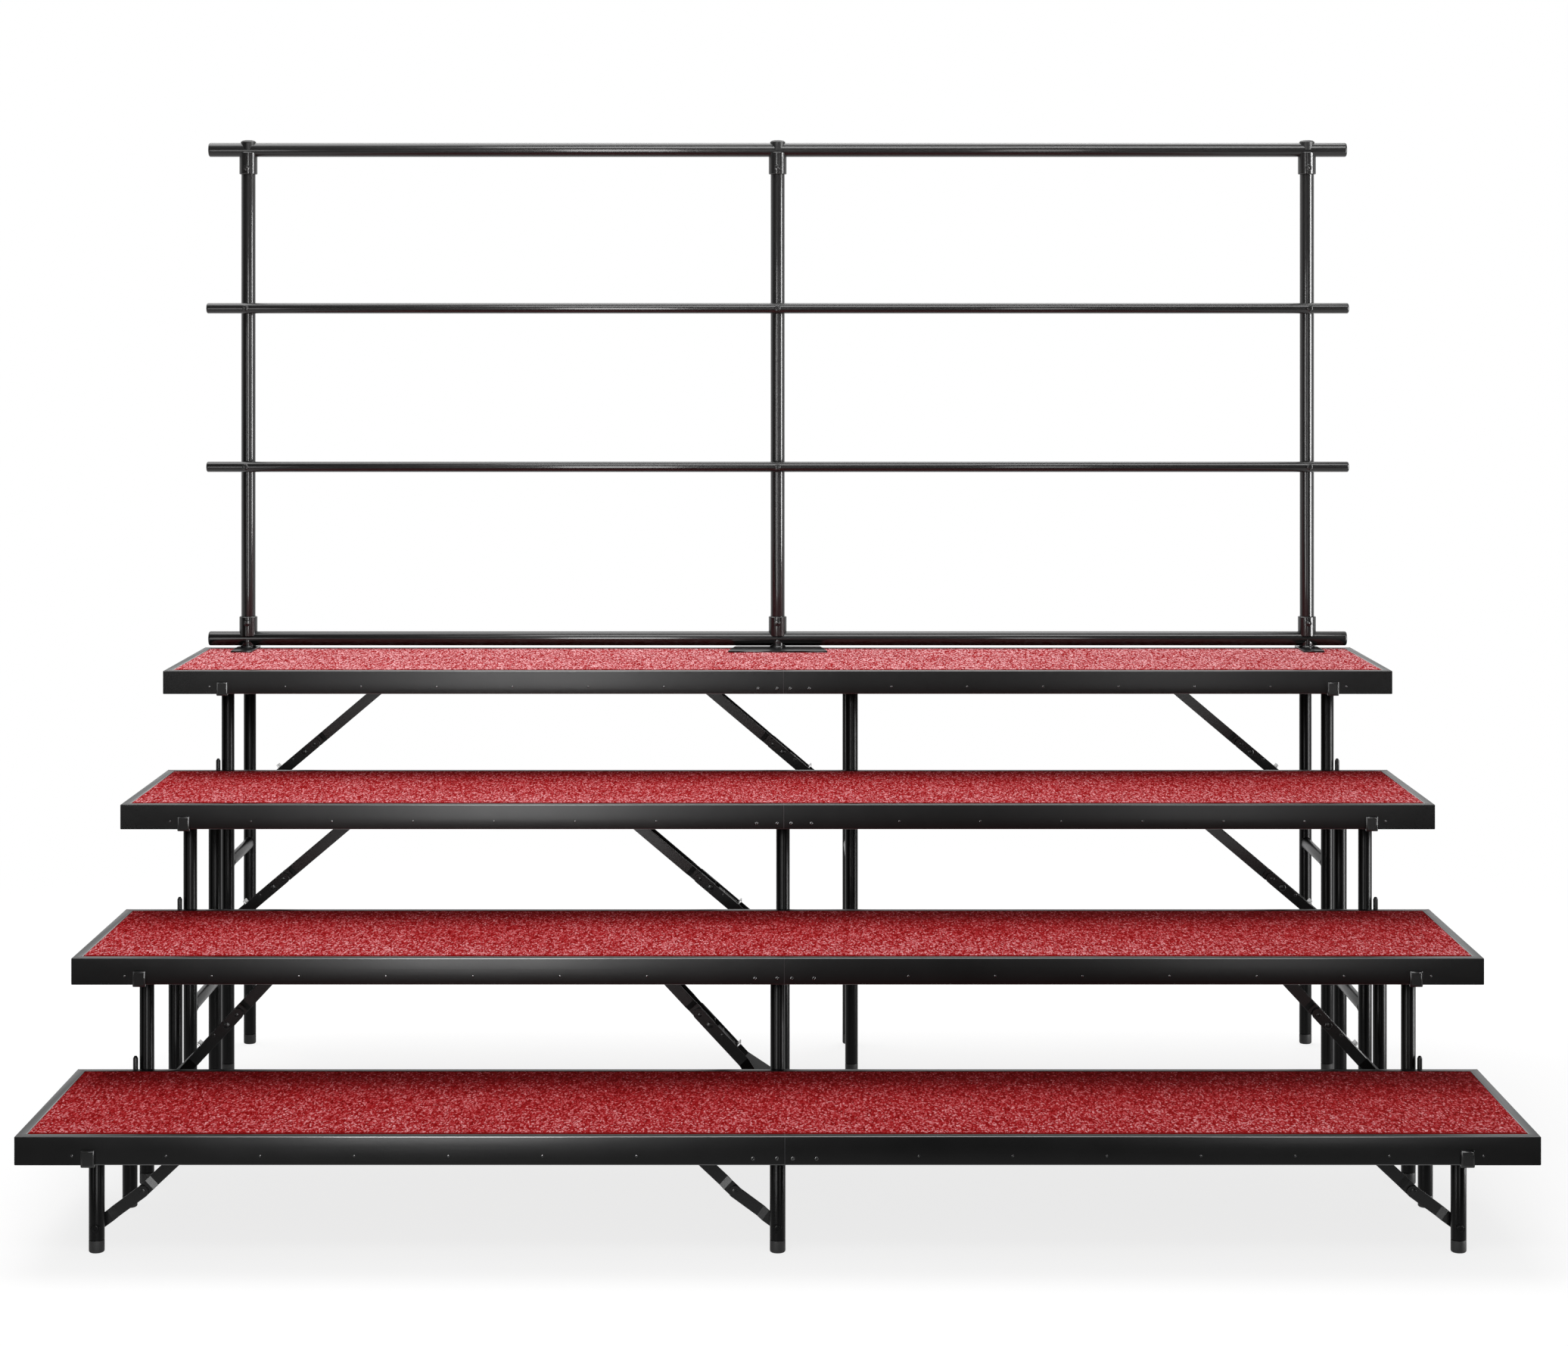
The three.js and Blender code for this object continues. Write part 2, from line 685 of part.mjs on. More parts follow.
function midRail() {
  const pieces = [rail(midRailDiameter)];
  for (const x of postXs) {
    const front = -midRailDiameter / 2;
    pieces.push(rodAlongY(x, 0, [front - railBoltHeight, 0], railBoltDiameter / 2, pinSides));
  }
  return joined(pieces);
}

function post() {
  const bottom = bottomRailHeight + railDiameter / 2 + 2 * clearance;
  const top = topRailHeight - railDiameter / 2 - 2 * clearance;
  return rodAlongZ(0, 0, [bottom, top], railDiameter / 2, roundSides);
}

// Assembly

const choirRiser = new THREE.Group();

risers.forEach((riser, i) => {
  const number = i + 1;
  const level = new THREE.Group();
  const deckTop = number * rise;
  const pivotHeight = deckTop - pivotBelowDeck;
  level.position.set(0, frontY + i * step, deckTop);
  choirRiser.add(level);

  level.add(meshOf(deckFrame(riser, number < riserCount), `deck_frame_${number}`, black));
  level.add(meshOf(carpetedBoard(number === riserCount), `carpeted_deck_${number}`, carpetRed));

  const layout = braceLayout(riser);
  for (const set of legSets(riser)) {
    const place = `${number}_${set.name}`;
    const fold = new THREE.Group();
    fold.position.set(set.x, setY, -pivotBelowDeck);
    fold.rotation.z = set.way > 0 ? 0 : Math.PI;
    level.add(fold);
    fold.add(meshOf(legFrame(pivotHeight, riser), `leg_frame_${place}`, black));

    const side = -set.way; // the front leg is at low Y where the set folds to the right
    const lower = riser.short ? shortLowerLink(layout, side) : lowerLink(layout);
    const upper = riser.short ? shortUpperLink(layout, side) : upperLink(layout);
    const lowerMesh = meshOf(lower, `brace_lower_${place}`, black);
    lowerMesh.position.set(layout.kneeX, 0, layout.kneeZ);
    lowerMesh.rotation.y = -layout.lowerTurn;
    const upperMesh = meshOf(upper, `brace_upper_${place}`, black);
    upperMesh.position.set(riser.reach, 0, 0);
    upperMesh.rotation.y = -layout.upperTurn;
    fold.add(lowerMesh, upperMesh);

    if (!riser.short) {
      const latch = meshOf(latchLever(), `brace_latch_${place}`, zinc);
      latch.position.set(latchFromKnee, 0, -latchOffCentre);
      lowerMesh.add(latch);
    }
  }
});

const guard = new THREE.Group();
const topFrontY = frontY + (riserCount - 1) * step;
guard.position.set(0, topFrontY + deckDepth - railFromRearEdge, riserCount * rise);
choirRiser.add(guard);

const upperRail = meshOf(topRail(), "guard_top_rail", black);
upperRail.position.z = topRailHeight;
const lowerRail = meshOf(bottomRail(), "guard_bottom_rail", black);
lowerRail.position.z = bottomRailHeight;
guard.add(upperRail, lowerRail);
for (const [name, height] of [["upper", upperMidHeight], ["lower", lowerMidHeight]]) {
  const middle = meshOf(midRail(), `guard_mid_rail_${name}`, black);
  middle.position.set(0, -(railDiameter + midRailDiameter) / 2 - clearance, height);
  guard.add(middle);
}
postXs.forEach((x, i) => {
  const upright = meshOf(post(), `guard_post_${postNames[i]}`, black);
  upright.position.x = x;
  guard.add(upright);
});

export default choirRiser;
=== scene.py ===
import json
import math
import random

import bmesh
import bpy
from mathutils import Matrix, Vector, noise


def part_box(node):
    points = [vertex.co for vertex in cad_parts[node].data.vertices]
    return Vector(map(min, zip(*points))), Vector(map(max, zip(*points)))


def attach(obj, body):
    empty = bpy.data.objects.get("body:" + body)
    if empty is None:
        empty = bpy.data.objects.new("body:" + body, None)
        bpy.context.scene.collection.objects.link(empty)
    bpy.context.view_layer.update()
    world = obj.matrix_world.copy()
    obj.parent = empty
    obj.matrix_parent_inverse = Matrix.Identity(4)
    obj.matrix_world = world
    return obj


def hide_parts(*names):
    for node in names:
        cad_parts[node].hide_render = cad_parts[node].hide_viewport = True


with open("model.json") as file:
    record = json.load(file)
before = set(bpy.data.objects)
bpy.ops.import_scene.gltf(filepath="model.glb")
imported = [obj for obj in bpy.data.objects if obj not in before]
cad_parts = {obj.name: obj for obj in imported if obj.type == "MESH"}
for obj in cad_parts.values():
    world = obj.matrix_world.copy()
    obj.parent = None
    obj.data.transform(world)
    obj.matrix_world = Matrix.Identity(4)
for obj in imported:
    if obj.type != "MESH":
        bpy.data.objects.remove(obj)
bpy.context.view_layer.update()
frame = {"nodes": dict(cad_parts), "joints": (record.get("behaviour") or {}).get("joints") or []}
joints = {joint["child"]: joint for joint in frame["joints"]}
mm = 0.001
levels = (1, 2, 3, 4)
places = ("left", "centre", "right")
print("frame loaded,", len(frame["nodes"]), "nodes")


# Shader maths as Python sums
class Wire:
    def __init__(self, network, socket):
        self.network = network
        self.socket = socket

    def maths(self, operation, *values):
        return self.network.node("ShaderNodeMath", {"operation": operation}, dict(enumerate(values))).out()

    def larger(self, other):
        return self.maths("MAXIMUM", self, other)

    def __add__(self, other):
        return self.maths("ADD", self, other)

    def __sub__(self, other):
        return self.maths("SUBTRACT", self, other)

    def __rsub__(self, other):
        return self.maths("SUBTRACT", other, self)

    def __mul__(self, other):
        return self.maths("MULTIPLY", self, other)

    __radd__ = __add__
    __rmul__ = __mul__


class MadeNode:
    def __init__(self, network, node):
        self.network = network
        self.node = node

    def out(self, name=0):
        return Wire(self.network, self.node.outputs[name])


# The nodes of one material or of the world
class Network:
    def __init__(self, tree):
        self.tree = tree

    def join(self, socket, value):
        if isinstance(value, Wire):
            self.tree.links.new(value.socket, socket)
        else:
            socket.default_value = value

    def node(self, kind, settings=None, values=None):
        made = self.tree.nodes.new(kind)
        for key, value in (settings or {}).items():
            if key == "stops":
                fillRamp(made.color_ramp, value)
            else:
                setattr(made, key, value)
        for key, value in (values or {}).items():
            self.join(made.inputs[key], value)
        return MadeNode(self, made)

    def place(self):
        return self.node("ShaderNodeTexCoord").out("Object")

    def part(self, where, axis):
        return self.node("ShaderNodeSeparateXYZ", None, {0: where}).out(axis)

    def stretch(self, where, scale):
        return self.node("ShaderNodeMapping", None, {"Vector": where, "Scale": scale}).out()

    def noise(self, where, scale, detail=2.0, roughness=0.5):
        values = {"Vector": where, "Scale": scale, "Detail": detail, "Roughness": roughness}
        return self.node("ShaderNodeTexNoise", None, values).out("Fac")

    def spread(self, value, start, end, first=0.0, last=1.0, **settings):
        values = {"Value": value, "From Min": start, "From Max": end, "To Min": first, "To Max": last}
        return self.node("ShaderNodeMapRange", settings, values).out("Result")

    def ramp(self, factor, stops):
        return self.node("ShaderNodeValToRGB", {"stops": stops}, {"Fac": factor}).out("Color")

    def greys(self, factor, stops):
        return self.ramp(factor, [(position, grey(value)) for position, value in stops])

    def mix(self, factor, first, second):
        return self.node("ShaderNodeMix", {"data_type": "RGBA"}, {0: factor, 6: first, 7: second}).out(2)

    def bump(self, height, strength, distance):
        values = {"Height": height, "Strength": strength, "Distance": distance}
        return self.node("ShaderNodeBump", None, values).out("Normal")


class Finish(Network):
    def __init__(self, name):
        self.material = bpy.data.materials.new(name)
        self.material.use_nodes = True
        super().__init__(self.material.node_tree)
        self.shader = self.tree.nodes["Principled BSDF"]

    def set(self, **values):
        for key, value in values.items():
            self.join(self.shader.inputs[socketNames[key]], value)


socketNames = {
    "colour": "Base Color",
    "roughness": "Roughness",
    "metallic": "Metallic",
    "coat": "Coat Weight",
    "coatRoughness": "Coat Roughness",
    "specular": "Specular IOR Level",
    "normal": "Normal",
}


def fillRamp(ramp, stops):
    while len(ramp.elements) < len(stops):
        ramp.elements.new(0.5)
    for element, (position, colour) in zip(ramp.elements, stops):
        element.position = position
        element.color = colour


def grey(value):
    return (value, value, value, 1)


# Every noise below is given as scale, detail and roughness, every grey ramp as pairs of position and grey

# Black powder coat: fine orange peel, patches that shine a little more or less, a trace of dust
coating = {
    "colour": (0.0022, 0.0022, 0.0023),
    "dustColour": (0.0050, 0.0050, 0.0053, 1),
    "dust": ((0.45, 0), (0.8, 1)),
    "peelNoise": (270, 1.0),
    "grainNoise": (1500, 0.0),
    "patchNoise": (9, 4.0, 0.6),
    "peelShare": 0.7,
    "grainShare": 0.3,
    "roughness": 0.33,
    "roughnessSpread": 0.08,
    "shine": 0.2,
    "gloss": 0.12,
    "polish": 0.16,
    "peelDepth": 0.22 * mm,
    "peel": 0.35,
    "tubePeel": 0.14,
}


def blackCoat(name, lift=1.0, gloss=coating["gloss"], polish=coating["polish"],
              texture=coating["peel"], shine=coating["shine"], paintedLightTop=None):
    finish = Finish(name)
    where = finish.place()
    peel = finish.noise(where, *coating["peelNoise"])
    grain = finish.noise(where, *coating["grainNoise"])
    patch = finish.noise(where, *coating["patchNoise"])
    dark = tuple(channel * lift for channel in coating["colour"]) + (1,)
    colour = finish.mix(finish.greys(patch, coating["dust"]), dark, coating["dustColour"])
    if paintedLightTop:
        # Painted light: the coat of the guard rail is painted greyer towards the top
        upward = finish.spread(finish.part(where, "Z"), paintedLightTop["from"], paintedLightTop["to"])
        colour = finish.mix(upward, colour, grey(paintedLightTop["grey"]))
    texturing = peel * coating["peelShare"] + grain * coating["grainShare"]
    spread = coating["roughnessSpread"]
    finish.set(
        colour=colour,
        roughness=patch * spread + (coating["roughness"] - spread / 2),
        specular=shine,
        coat=gloss,
        coatRoughness=polish,
        normal=finish.bump(texturing, texture, coating["peelDepth"]),
    )
    return finish.material


# Carpet: short pile in several reds, its own tones mixed with painted shade between the tufts and painted
# sheen on their tips; painted shade darkens the back of the lower decks under the deck above, painted light
# makes them paler towards the front, and painted sheen makes the top deck paler all over
carpetLook = {
    "tufts": 400,  # to the metre
    "tuftRows": {1: 155, 2: 135, 3: 130, 4: 115},  # to the metre from front to back
    "contrast": {1: 1.0, 2: 1.0, 3: 1.0, 4: 1.2},
    # painted light per level: at the back, painted shade under the deck above on the lower decks and painted
    # sheen on the top deck; then its gain towards the front
    "paler": {1: -0.12, 2: -0.10, 3: -0.08, 4: 0.18},
    "palerFront": {1: 0.17, 2: 0.19, 3: 0.19, 4: 0.0},
    "fleckNoise": (1.1, 2.0, 0.7),
    "cloudNoise": (6, 3.0, 0.6),
    "tuftWeight": 0.62,
    "fleckWeight": 0.9,
    "cloudWeight": 0.16,
    "reds": [  # from the painted shade between the tufts to the painted sheen on their tips
        (0.12, (0.16, 0.0002, 0.0004, 1)),
        (0.34, (0.26, 0.0020, 0.0028, 1)),
        (0.52, (0.36, 0.013, 0.016, 1)),
        (0.68, (0.50, 0.070, 0.078, 1)),
        (0.84, (0.68, 0.26, 0.275, 1)),
        (1.0, (0.86, 0.46, 0.48, 1)),
    ],
    "roughness": 0.95,
    "shine": 0.02,
    "pile": 0.8,
    "pileDepth": 1.4 * mm,
    "tuftHeight": 0.6,
    "fleckHeight": 0.4,
    "cutEdge": (5 * mm, 10 * mm),  # painted shade along the cut front edge of the carpet, from and to
    "cutRagged": 4 * mm,
}


def carpetPile(level):
    finish = Finish(f"speckledCarpet_{level}")
    where = finish.place()
    low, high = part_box(f"carpeted_deck_{level}")
    tufts = (carpetLook["tufts"], carpetLook["tuftRows"][level], carpetLook["tufts"])
    stretched = finish.stretch(where, tufts)
    tuft = finish.node("ShaderNodeTexVoronoi", None, {"Vector": stretched, "Scale": 1.0})
    shade = finish.node("ShaderNodeSeparateColor", None, {"Color": tuft.out("Color")}).out("Red")
    fleck = finish.noise(stretched, *carpetLook["fleckNoise"])
    cloud = finish.noise(where, *carpetLook["cloudNoise"])
    depthwise = finish.part(where, "Y")
    # Painted light: darker at the back under the deck above, paler towards the front, and paler all over on
    # the top deck
    paler = carpetLook["paler"][level]
    paintedLightDepthwise = finish.spread(depthwise, high.y, low.y, paler, paler + carpetLook["palerFront"][level])
    # Painted shade: a ragged band of the deepest red along the cut front edge
    ragged = depthwise + (fleck - 0.5) * carpetLook["cutRagged"]
    edgeFrom, edgeTo = carpetLook["cutEdge"]
    inside = finish.spread(ragged, low.y + edgeFrom, low.y + edgeTo)
    # The speckle picks the red: the pile's own tones, with painted shade between the tufts and painted sheen
    # on their tips
    speckle = (shade - 0.5) * carpetLook["tuftWeight"] + (fleck - 0.5) * carpetLook["fleckWeight"]
    clouds = (cloud - 0.5) * carpetLook["cloudWeight"]
    mixture = speckle * carpetLook["contrast"][level] + clouds + (paintedLightDepthwise + 0.5)
    deepestShadeRed = carpetLook["reds"][0][1]
    height = (1 - tuft.out("Distance")) * carpetLook["tuftHeight"] + fleck * carpetLook["fleckHeight"]
    finish.set(
        colour=finish.mix(inside, deepestShadeRed, finish.ramp(mixture, carpetLook["reds"])),
        roughness=carpetLook["roughness"],
        specular=carpetLook["shine"],
        normal=finish.bump(height, carpetLook["pile"], carpetLook["pileDepth"]),
    )
    return finish.material


# Zinc plate: fine brushing, dull spots
zincLook = {
    "spotNoise": (160, 3.0, 0.6),
    "brushNoise": (1400, 1.0),
    "greys": ((0.3, 0.42), (0.75, 0.66)),
    "roughness": 0.25,
    "roughnessSpread": 0.25,
    "brushing": 0.2,
    "brushDepth": 0.1 * mm,
}


def zincPlate(name, shade):
    finish = Finish(name)
    where = finish.place()
    spots = finish.noise(where, *zincLook["spotNoise"])
    brush = finish.noise(where, *zincLook["brushNoise"])
    finish.set(
        colour=finish.greys(spots, [(position, value * shade) for position, value in zincLook["greys"]]),
        metallic=1.0,
        roughness=spots * zincLook["roughnessSpread"] + zincLook["roughness"],
        normal=finish.bump(brush, zincLook["brushing"], zincLook["brushDepth"]),
    )
    return finish.material


# Blackened steel of the small screws, worn bright
screwLook = {
    "wearNoise": (700, 2.0),
    "greys": ((0.35, 0.02), (0.7, 0.16)),
    "roughness": 0.1,
    "roughnessSpread": 0.2,
}


def screwSteel():
    finish = Finish("wornScrewSteel")
    worn = finish.noise(finish.place(), *screwLook["wearNoise"])
    finish.set(
        colour=finish.greys(worn, screwLook["greys"]),
        metallic=1.0,
        roughness=worn * screwLook["roughnessSpread"] + screwLook["roughness"],
    )
    return finish.material


# Underside of the board: plain brown hardboard with faint fibres
boardLook = {
    "stretch": (14, 120, 60),
    "fibreNoise": (3.0, 5.0, 0.7),
    "browns": [(0.3, (0.10, 0.052, 0.026, 1)), (0.7, (0.20, 0.115, 0.062, 1))],
    "roughness": 0.8,
    "fibres": 0.3,
    "fibreDepth": 0.4 * mm,
}


def hardBoard():
    finish = Finish("hardBoard")
    fibre = finish.noise(finish.stretch(finish.place(), boardLook["stretch"]), *boardLook["fibreNoise"])
    finish.set(
        colour=finish.ramp(fibre, boardLook["browns"]),
        roughness=boardLook["roughness"],
        normal=finish.bump(fibre, boardLook["fibres"], boardLook["fibreDepth"]),
    )
    return finish.material


# Black rubber of the feet and black plastic of the plugs
softLook = {
    "grainNoise": (900, 2.0),
    "greys": ((0.3, 0.006), (0.7, 0.014)),
    "roughnessSpread": 0.15,
    "shine": 0.35,
    "grain": 0.25,
    "grainDepth": 0.1 * mm,
}


def softBlack(name, roughness):
    finish = Finish(name)
    fine = finish.noise(finish.place(), *softLook["grainNoise"])
    spread = softLook["roughnessSpread"]
    finish.set(
        colour=finish.greys(fine, softLook["greys"]),
        roughness=fine * spread + (roughness - spread / 2),
        specular=softLook["shine"],
        normal=finish.bump(fine, softLook["grain"], softLook["grainDepth"]),
    )
    return finish.material


coat = blackCoat("blackPowderCoat", texture=0.22)
satin = blackCoat("satinPowderCoat", gloss=0.04)
tubeCoat = blackCoat("tubePowderCoat", gloss=0.05, texture=coating["tubePeel"], shine=0.08)
# The rail's coat is painted greyer towards the top, as painted light
railCoat = blackCoat(
    "railPowderCoat", gloss=0.5, polish=0.10, texture=coating["tubePeel"],
    paintedLightTop={"from": 0.8, "to": 1.9, "grey": 0.028},
)
foldShine = blackCoat("foldPowderCoat", gloss=0.7, polish=0.12, texture=0.1, shine=0.7)  # rubbed bright
glossy = blackCoat("glossyBlack", lift=0.7, gloss=0.9)
screws = screwSteel()
# Light grey of the seam and mitre strips: painted highlight of edges that catch light
seamEdge = blackCoat("seamEdge", lift=55)
rubber = softBlack("footRubber", 0.6)
plastic = softBlack("plugPlastic", 0.42)
piles = {level: carpetPile(level) for level in levels}
zinc = zincPlate("zincPlate", 1.0)
# A darker copy of the zinc for the lever plates: painted shade between the straps
paintedShadeZinc = zincPlate("dullZincPlate", 0.16)
board = hardBoard()
print("finishes made")

# Modelling helpers
weldDistance = 0.01 * mm
smoothAngle = 38
rodRound = 0.3 * mm  # ends of plain rods
facets = {  # of round parts
    "corner": 4,
    "dimple": 12,
    "screw": 20,
    "pin": 20,
    "head": 24,
    "bolt": 28,
    "bead": 28,
    "rod": 32,
    "rail": 40,
}
noPlace = Matrix.Identity(4)


def spin(angle, axis):
    return Matrix.Rotation(angle, 4, axis)


def move(x=0.0, y=0.0, z=0.0):
    return Matrix.Translation((x, y, z))


def facing(x, y, z):
    # Turns the Z axis to a direction.
    return Vector((x, y, z)).to_track_quat("Z", "Y").to_matrix().to_4x4()


def newObject(name, data):
    made = bpy.data.objects.new(name, data)
    bpy.context.scene.collection.objects.link(made)
    return made


def addShape(bm, shape, place=noPlace):
    # Welds a finished shape, turns its faces out, puts it in place and joins it to the piece.
    bmesh.ops.remove_doubles(shape, verts=shape.verts, dist=weldDistance)
    bmesh.ops.recalc_face_normals(shape, faces=shape.faces)
    shape.transform(place)
    carrier = bpy.data.meshes.new("carrier")
    shape.to_mesh(carrier)
    shape.free()
    bm.from_mesh(carrier)
    bpy.data.meshes.remove(carrier)


def turned(profile, steps=facets["rod"], ring=False):
    # Turned about Z from (radius, height) pairs, which start and end on the axis or close to a ring.
    shape = bmesh.new()
    verts = [shape.verts.new((radius, 0, height)) for radius, height in profile]
    following = verts[1:] + verts[:1] if ring else verts[1:]
    edges = [shape.edges.new(pair) for pair in zip(verts, following)]
    bmesh.ops.spin(
        shape, geom=verts + edges, cent=(0, 0, 0), axis=(0, 0, 1), dvec=(0, 0, 0),
        angle=2 * math.pi, steps=steps, use_merge=True, use_duplicate=False,
    )
    return shape


def arcPoints(radius, height, size, start, end):
    # Points of a rounded corner in a turned profile, angles in degrees.
    count = facets["corner"]
    angles = [math.radians(start + (end - start) * i / count) for i in range(count + 1)]
    return [(radius + size * math.cos(angle), height + size * math.sin(angle)) for angle in angles]


def roundedRod(radius, bottom, top, bottomRound=rodRound, topRound=rodRound, steps=facets["rod"]):
    profile = [(0, bottom)]
    profile += arcPoints(radius - bottomRound, bottom + bottomRound, bottomRound, -90, 0)
    profile += arcPoints(radius - topRound, top - topRound, topRound, 0, 90)
    profile += [(0, top)]
    return turned(profile, steps)


def domedHead(radius, height, steps=facets["head"]):
    # Rivet or pan head: a short wall with a dome above it.
    wall = height * 0.35
    profile = [(0, 0), (radius, 0), (radius, wall)]
    for angle in (0.1, 0.25, 0.45, 0.7, 1.0, 1.3):
        profile.append((radius * math.cos(angle), wall + (height - wall) * math.sin(angle)))
    return turned(profile + [(0, height)], steps)


def socketHead(radius, height, steps=facets["bolt"]):
    # Button head bolt with a round socket.
    socket, floor = radius * 0.42, height * 0.45
    profile = [(0, 0), (radius, 0), (radius, height * 0.4)]
    profile += [(radius * 0.93, height * 0.72), (radius * 0.75, height * 0.93), (socket * 1.25, height)]
    profile += [(socket, height * 0.96), (socket, floor), (0, floor)]
    return turned(profile, steps)


def hexHead(width, height):
    shape = bmesh.new()
    radius = width / math.sqrt(3)
    bmesh.ops.create_cone(
        shape, cap_ends=True, cap_tris=False, segments=6, radius1=radius, radius2=radius, depth=height,
        matrix=move(z=height / 2),
    )
    top = [edge for edge in shape.edges if min(vert.co.z for vert in edge.verts) > height * 0.9]
    softenEdges(shape, top, height * 0.22)
    return shape


def slab(low, high, soft=0.0, segments=2):
    shape = bmesh.new()
    low, high = Vector(low), Vector(high)
    place = Matrix.Translation((low + high) / 2) @ Matrix.Diagonal((*(high - low), 1))
    bmesh.ops.create_cube(shape, size=1, matrix=place)
    if soft:
        softenEdges(shape, list(shape.edges), soft, segments)
    return shape


def softenEdges(shape, edges, width, segments=2):
    made = bmesh.ops.bevel(
        shape, geom=edges, offset=width, offset_type="OFFSET", segments=segments,
        profile=0.5, affect="EDGES", material=-1, clamp_overlap=True,
    )
    return made["faces"]


def sharpEdges(shape, angle):
    limit = math.radians(angle)
    return [edge for edge in shape.edges if edge.is_manifold and edge.calc_face_angle() > limit]


def sliceAt(shape, place, direction, parts=None):
    parts = parts or shape.verts[:] + shape.edges[:] + shape.faces[:]
    bmesh.ops.bisect_plane(shape, geom=parts, plane_co=place, plane_no=direction)


def extrudedVerts(made):
    return [item for item in made["geom"] if isinstance(item, bmesh.types.BMVert)]


def finishPiece(name, bm, finish, replaced=(), body="riser_set", angle=smoothAngle):
    mesh = bpy.data.meshes.new(name)
    bm.to_mesh(mesh)
    bm.free()
    mesh.shade_smooth()
    mesh.set_sharp_from_angle(angle=math.radians(angle))
    mesh.materials.append(finish)
    piece = newObject(name, mesh)
    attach(piece, body)
    if replaced:
        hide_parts(*replaced)
    return piece


# Deck frames: the long folds get their radius, and front and rear get their seams, screws and weld dimples
deckFrame = {
    "lip": 16.5 * mm,
    "seat": 0.3 * mm,
    "height": 46 * mm,
    "flatAngle": 0.5,  # faces that meet flatter than this become one
    "sharpAngle": 40,
    "longEdge": 250 * mm,  # shorter folds stay as they are
    "foldRadius": 1.5 * mm,
    "foldSteps": 3,
    "clipWidth": 22.3 * mm,
    "clipHeight": 27.3 * mm,
    "clipProud": 4.25 * mm,
    "clipGap": 0.1 * mm,
    "clipBelow": 3.15 * mm,
    "clipSoft": 1.4 * mm,
    "clipRim": 1.2 * mm,
    "clipFace": 0.35 * mm,
    "clipFaceSoft": 0.3 * mm,
    "seamX": 11.5 * mm,
    "seamWidth": 0.9 * mm,
    "seamProud": 0.12 * mm,
    "mitreWidth": 0.5 * mm,
    "screwFromSeam": (12.7 * mm, 50.8 * mm),
    "screwAboveEdge": 11 * mm,
    "screwRadius": 3.3 * mm,
    "screwHeight": 1.7 * mm,
    "dimpleSpacing": 148 * mm,
    "dimpleFromSeam": 101.6 * mm,
    "dimpleAboveEdge": 15 * mm,
    "dimpleRadius": 1.9 * mm,
    "dimpleHeight": 0.7 * mm,
}


def frameBox(level):
    # Corners of the edge frame round a carpet.
    low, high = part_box(f"carpeted_deck_{level}")
    edge = deckFrame["lip"] + deckFrame["seat"]
    bottom = high.z - deckFrame["height"]
    return Vector((low.x - edge, low.y - edge, bottom)), Vector((high.x + edge, high.y + edge, high.z))


def dressDeckFrame(level):
    node = f"deck_frame_{level}"
    bm = bmesh.new()
    bm.from_mesh(frame["nodes"][node].data)
    bmesh.ops.remove_doubles(bm, verts=bm.verts, dist=weldDistance)
    bmesh.ops.dissolve_limit(
        bm, angle_limit=math.radians(deckFrame["flatAngle"]), use_dissolve_boundaries=False,
        verts=bm.verts[:], edges=bm.edges[:],
    )
    sharp = sharpEdges(bm, deckFrame["sharpAngle"])
    folds = [edge for edge in sharp if edge.calc_length() > deckFrame["longEdge"]]
    for face in softenEdges(bm, folds, deckFrame["foldRadius"], deckFrame["foldSteps"]):
        face.material_index = 1
    piece = finishPiece(f"deckFrame_{level}", bm, satin, (node,))
    piece.data.materials.append(foldShine)


def frameScrews(level):
    # Screws beside the seam and weld dimples along the front and the rear.
    low, high = frameBox(level)
    carpetLow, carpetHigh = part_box(f"carpeted_deck_{level}")
    length = carpetHigh.x - carpetLow.x
    count = int(length / deckFrame["dimpleSpacing"])
    bm = bmesh.new()
    for y, way in ((low.y, -1), (high.y, 1)):
        outward = facing(0, way, 0)
        for side in (-1, 1):
            for away in deckFrame["screwFromSeam"]:
                head = socketHead(deckFrame["screwRadius"], deckFrame["screwHeight"], facets["screw"])
                x, z = deckFrame["seamX"] + side * away, low.z + deckFrame["screwAboveEdge"]
                addShape(bm, head, move(x, y, z) @ outward)
        for i in range(count):
            x, z = carpetLow.x + (i + 0.5) * length / count, low.z + deckFrame["dimpleAboveEdge"]
            if abs(x - deckFrame["seamX"]) >= deckFrame["dimpleFromSeam"]:
                dimple = domedHead(deckFrame["dimpleRadius"], deckFrame["dimpleHeight"], facets["dimple"])
                addShape(bm, dimple, move(x, y, z) @ outward)
    finishPiece(f"frameScrews_{level}", bm, screws)


def frontClips(level):
    # Faces of the square brackets on the front edge, over the end legs.
    low, _ = frameBox(level)
    half, inset = deckFrame["clipWidth"] / 2, 2 * deckFrame["clipRim"]
    front = low.y - deckFrame["clipProud"]
    bottom = low.z - deckFrame["clipBelow"]
    top = bottom + deckFrame["clipHeight"]
    bm = bmesh.new()
    for place in ("left", "right"):
        x = joints[f"legs_{level}_{place}"]["pos_m"][0]
        addShape(bm, slab(
            (x - half, front, bottom), (x + half, low.y - deckFrame["clipGap"], top),
            deckFrame["clipSoft"], 3,
        ))
        addShape(bm, slab(
            (x - half + inset, front - deckFrame["clipFace"], bottom + inset),
            (x + half - inset, front + deckFrame["clipRim"], top - inset), deckFrame["clipFaceSoft"], 1,
        ))
    finishPiece(f"frontClips_{level}", bm, glossy)


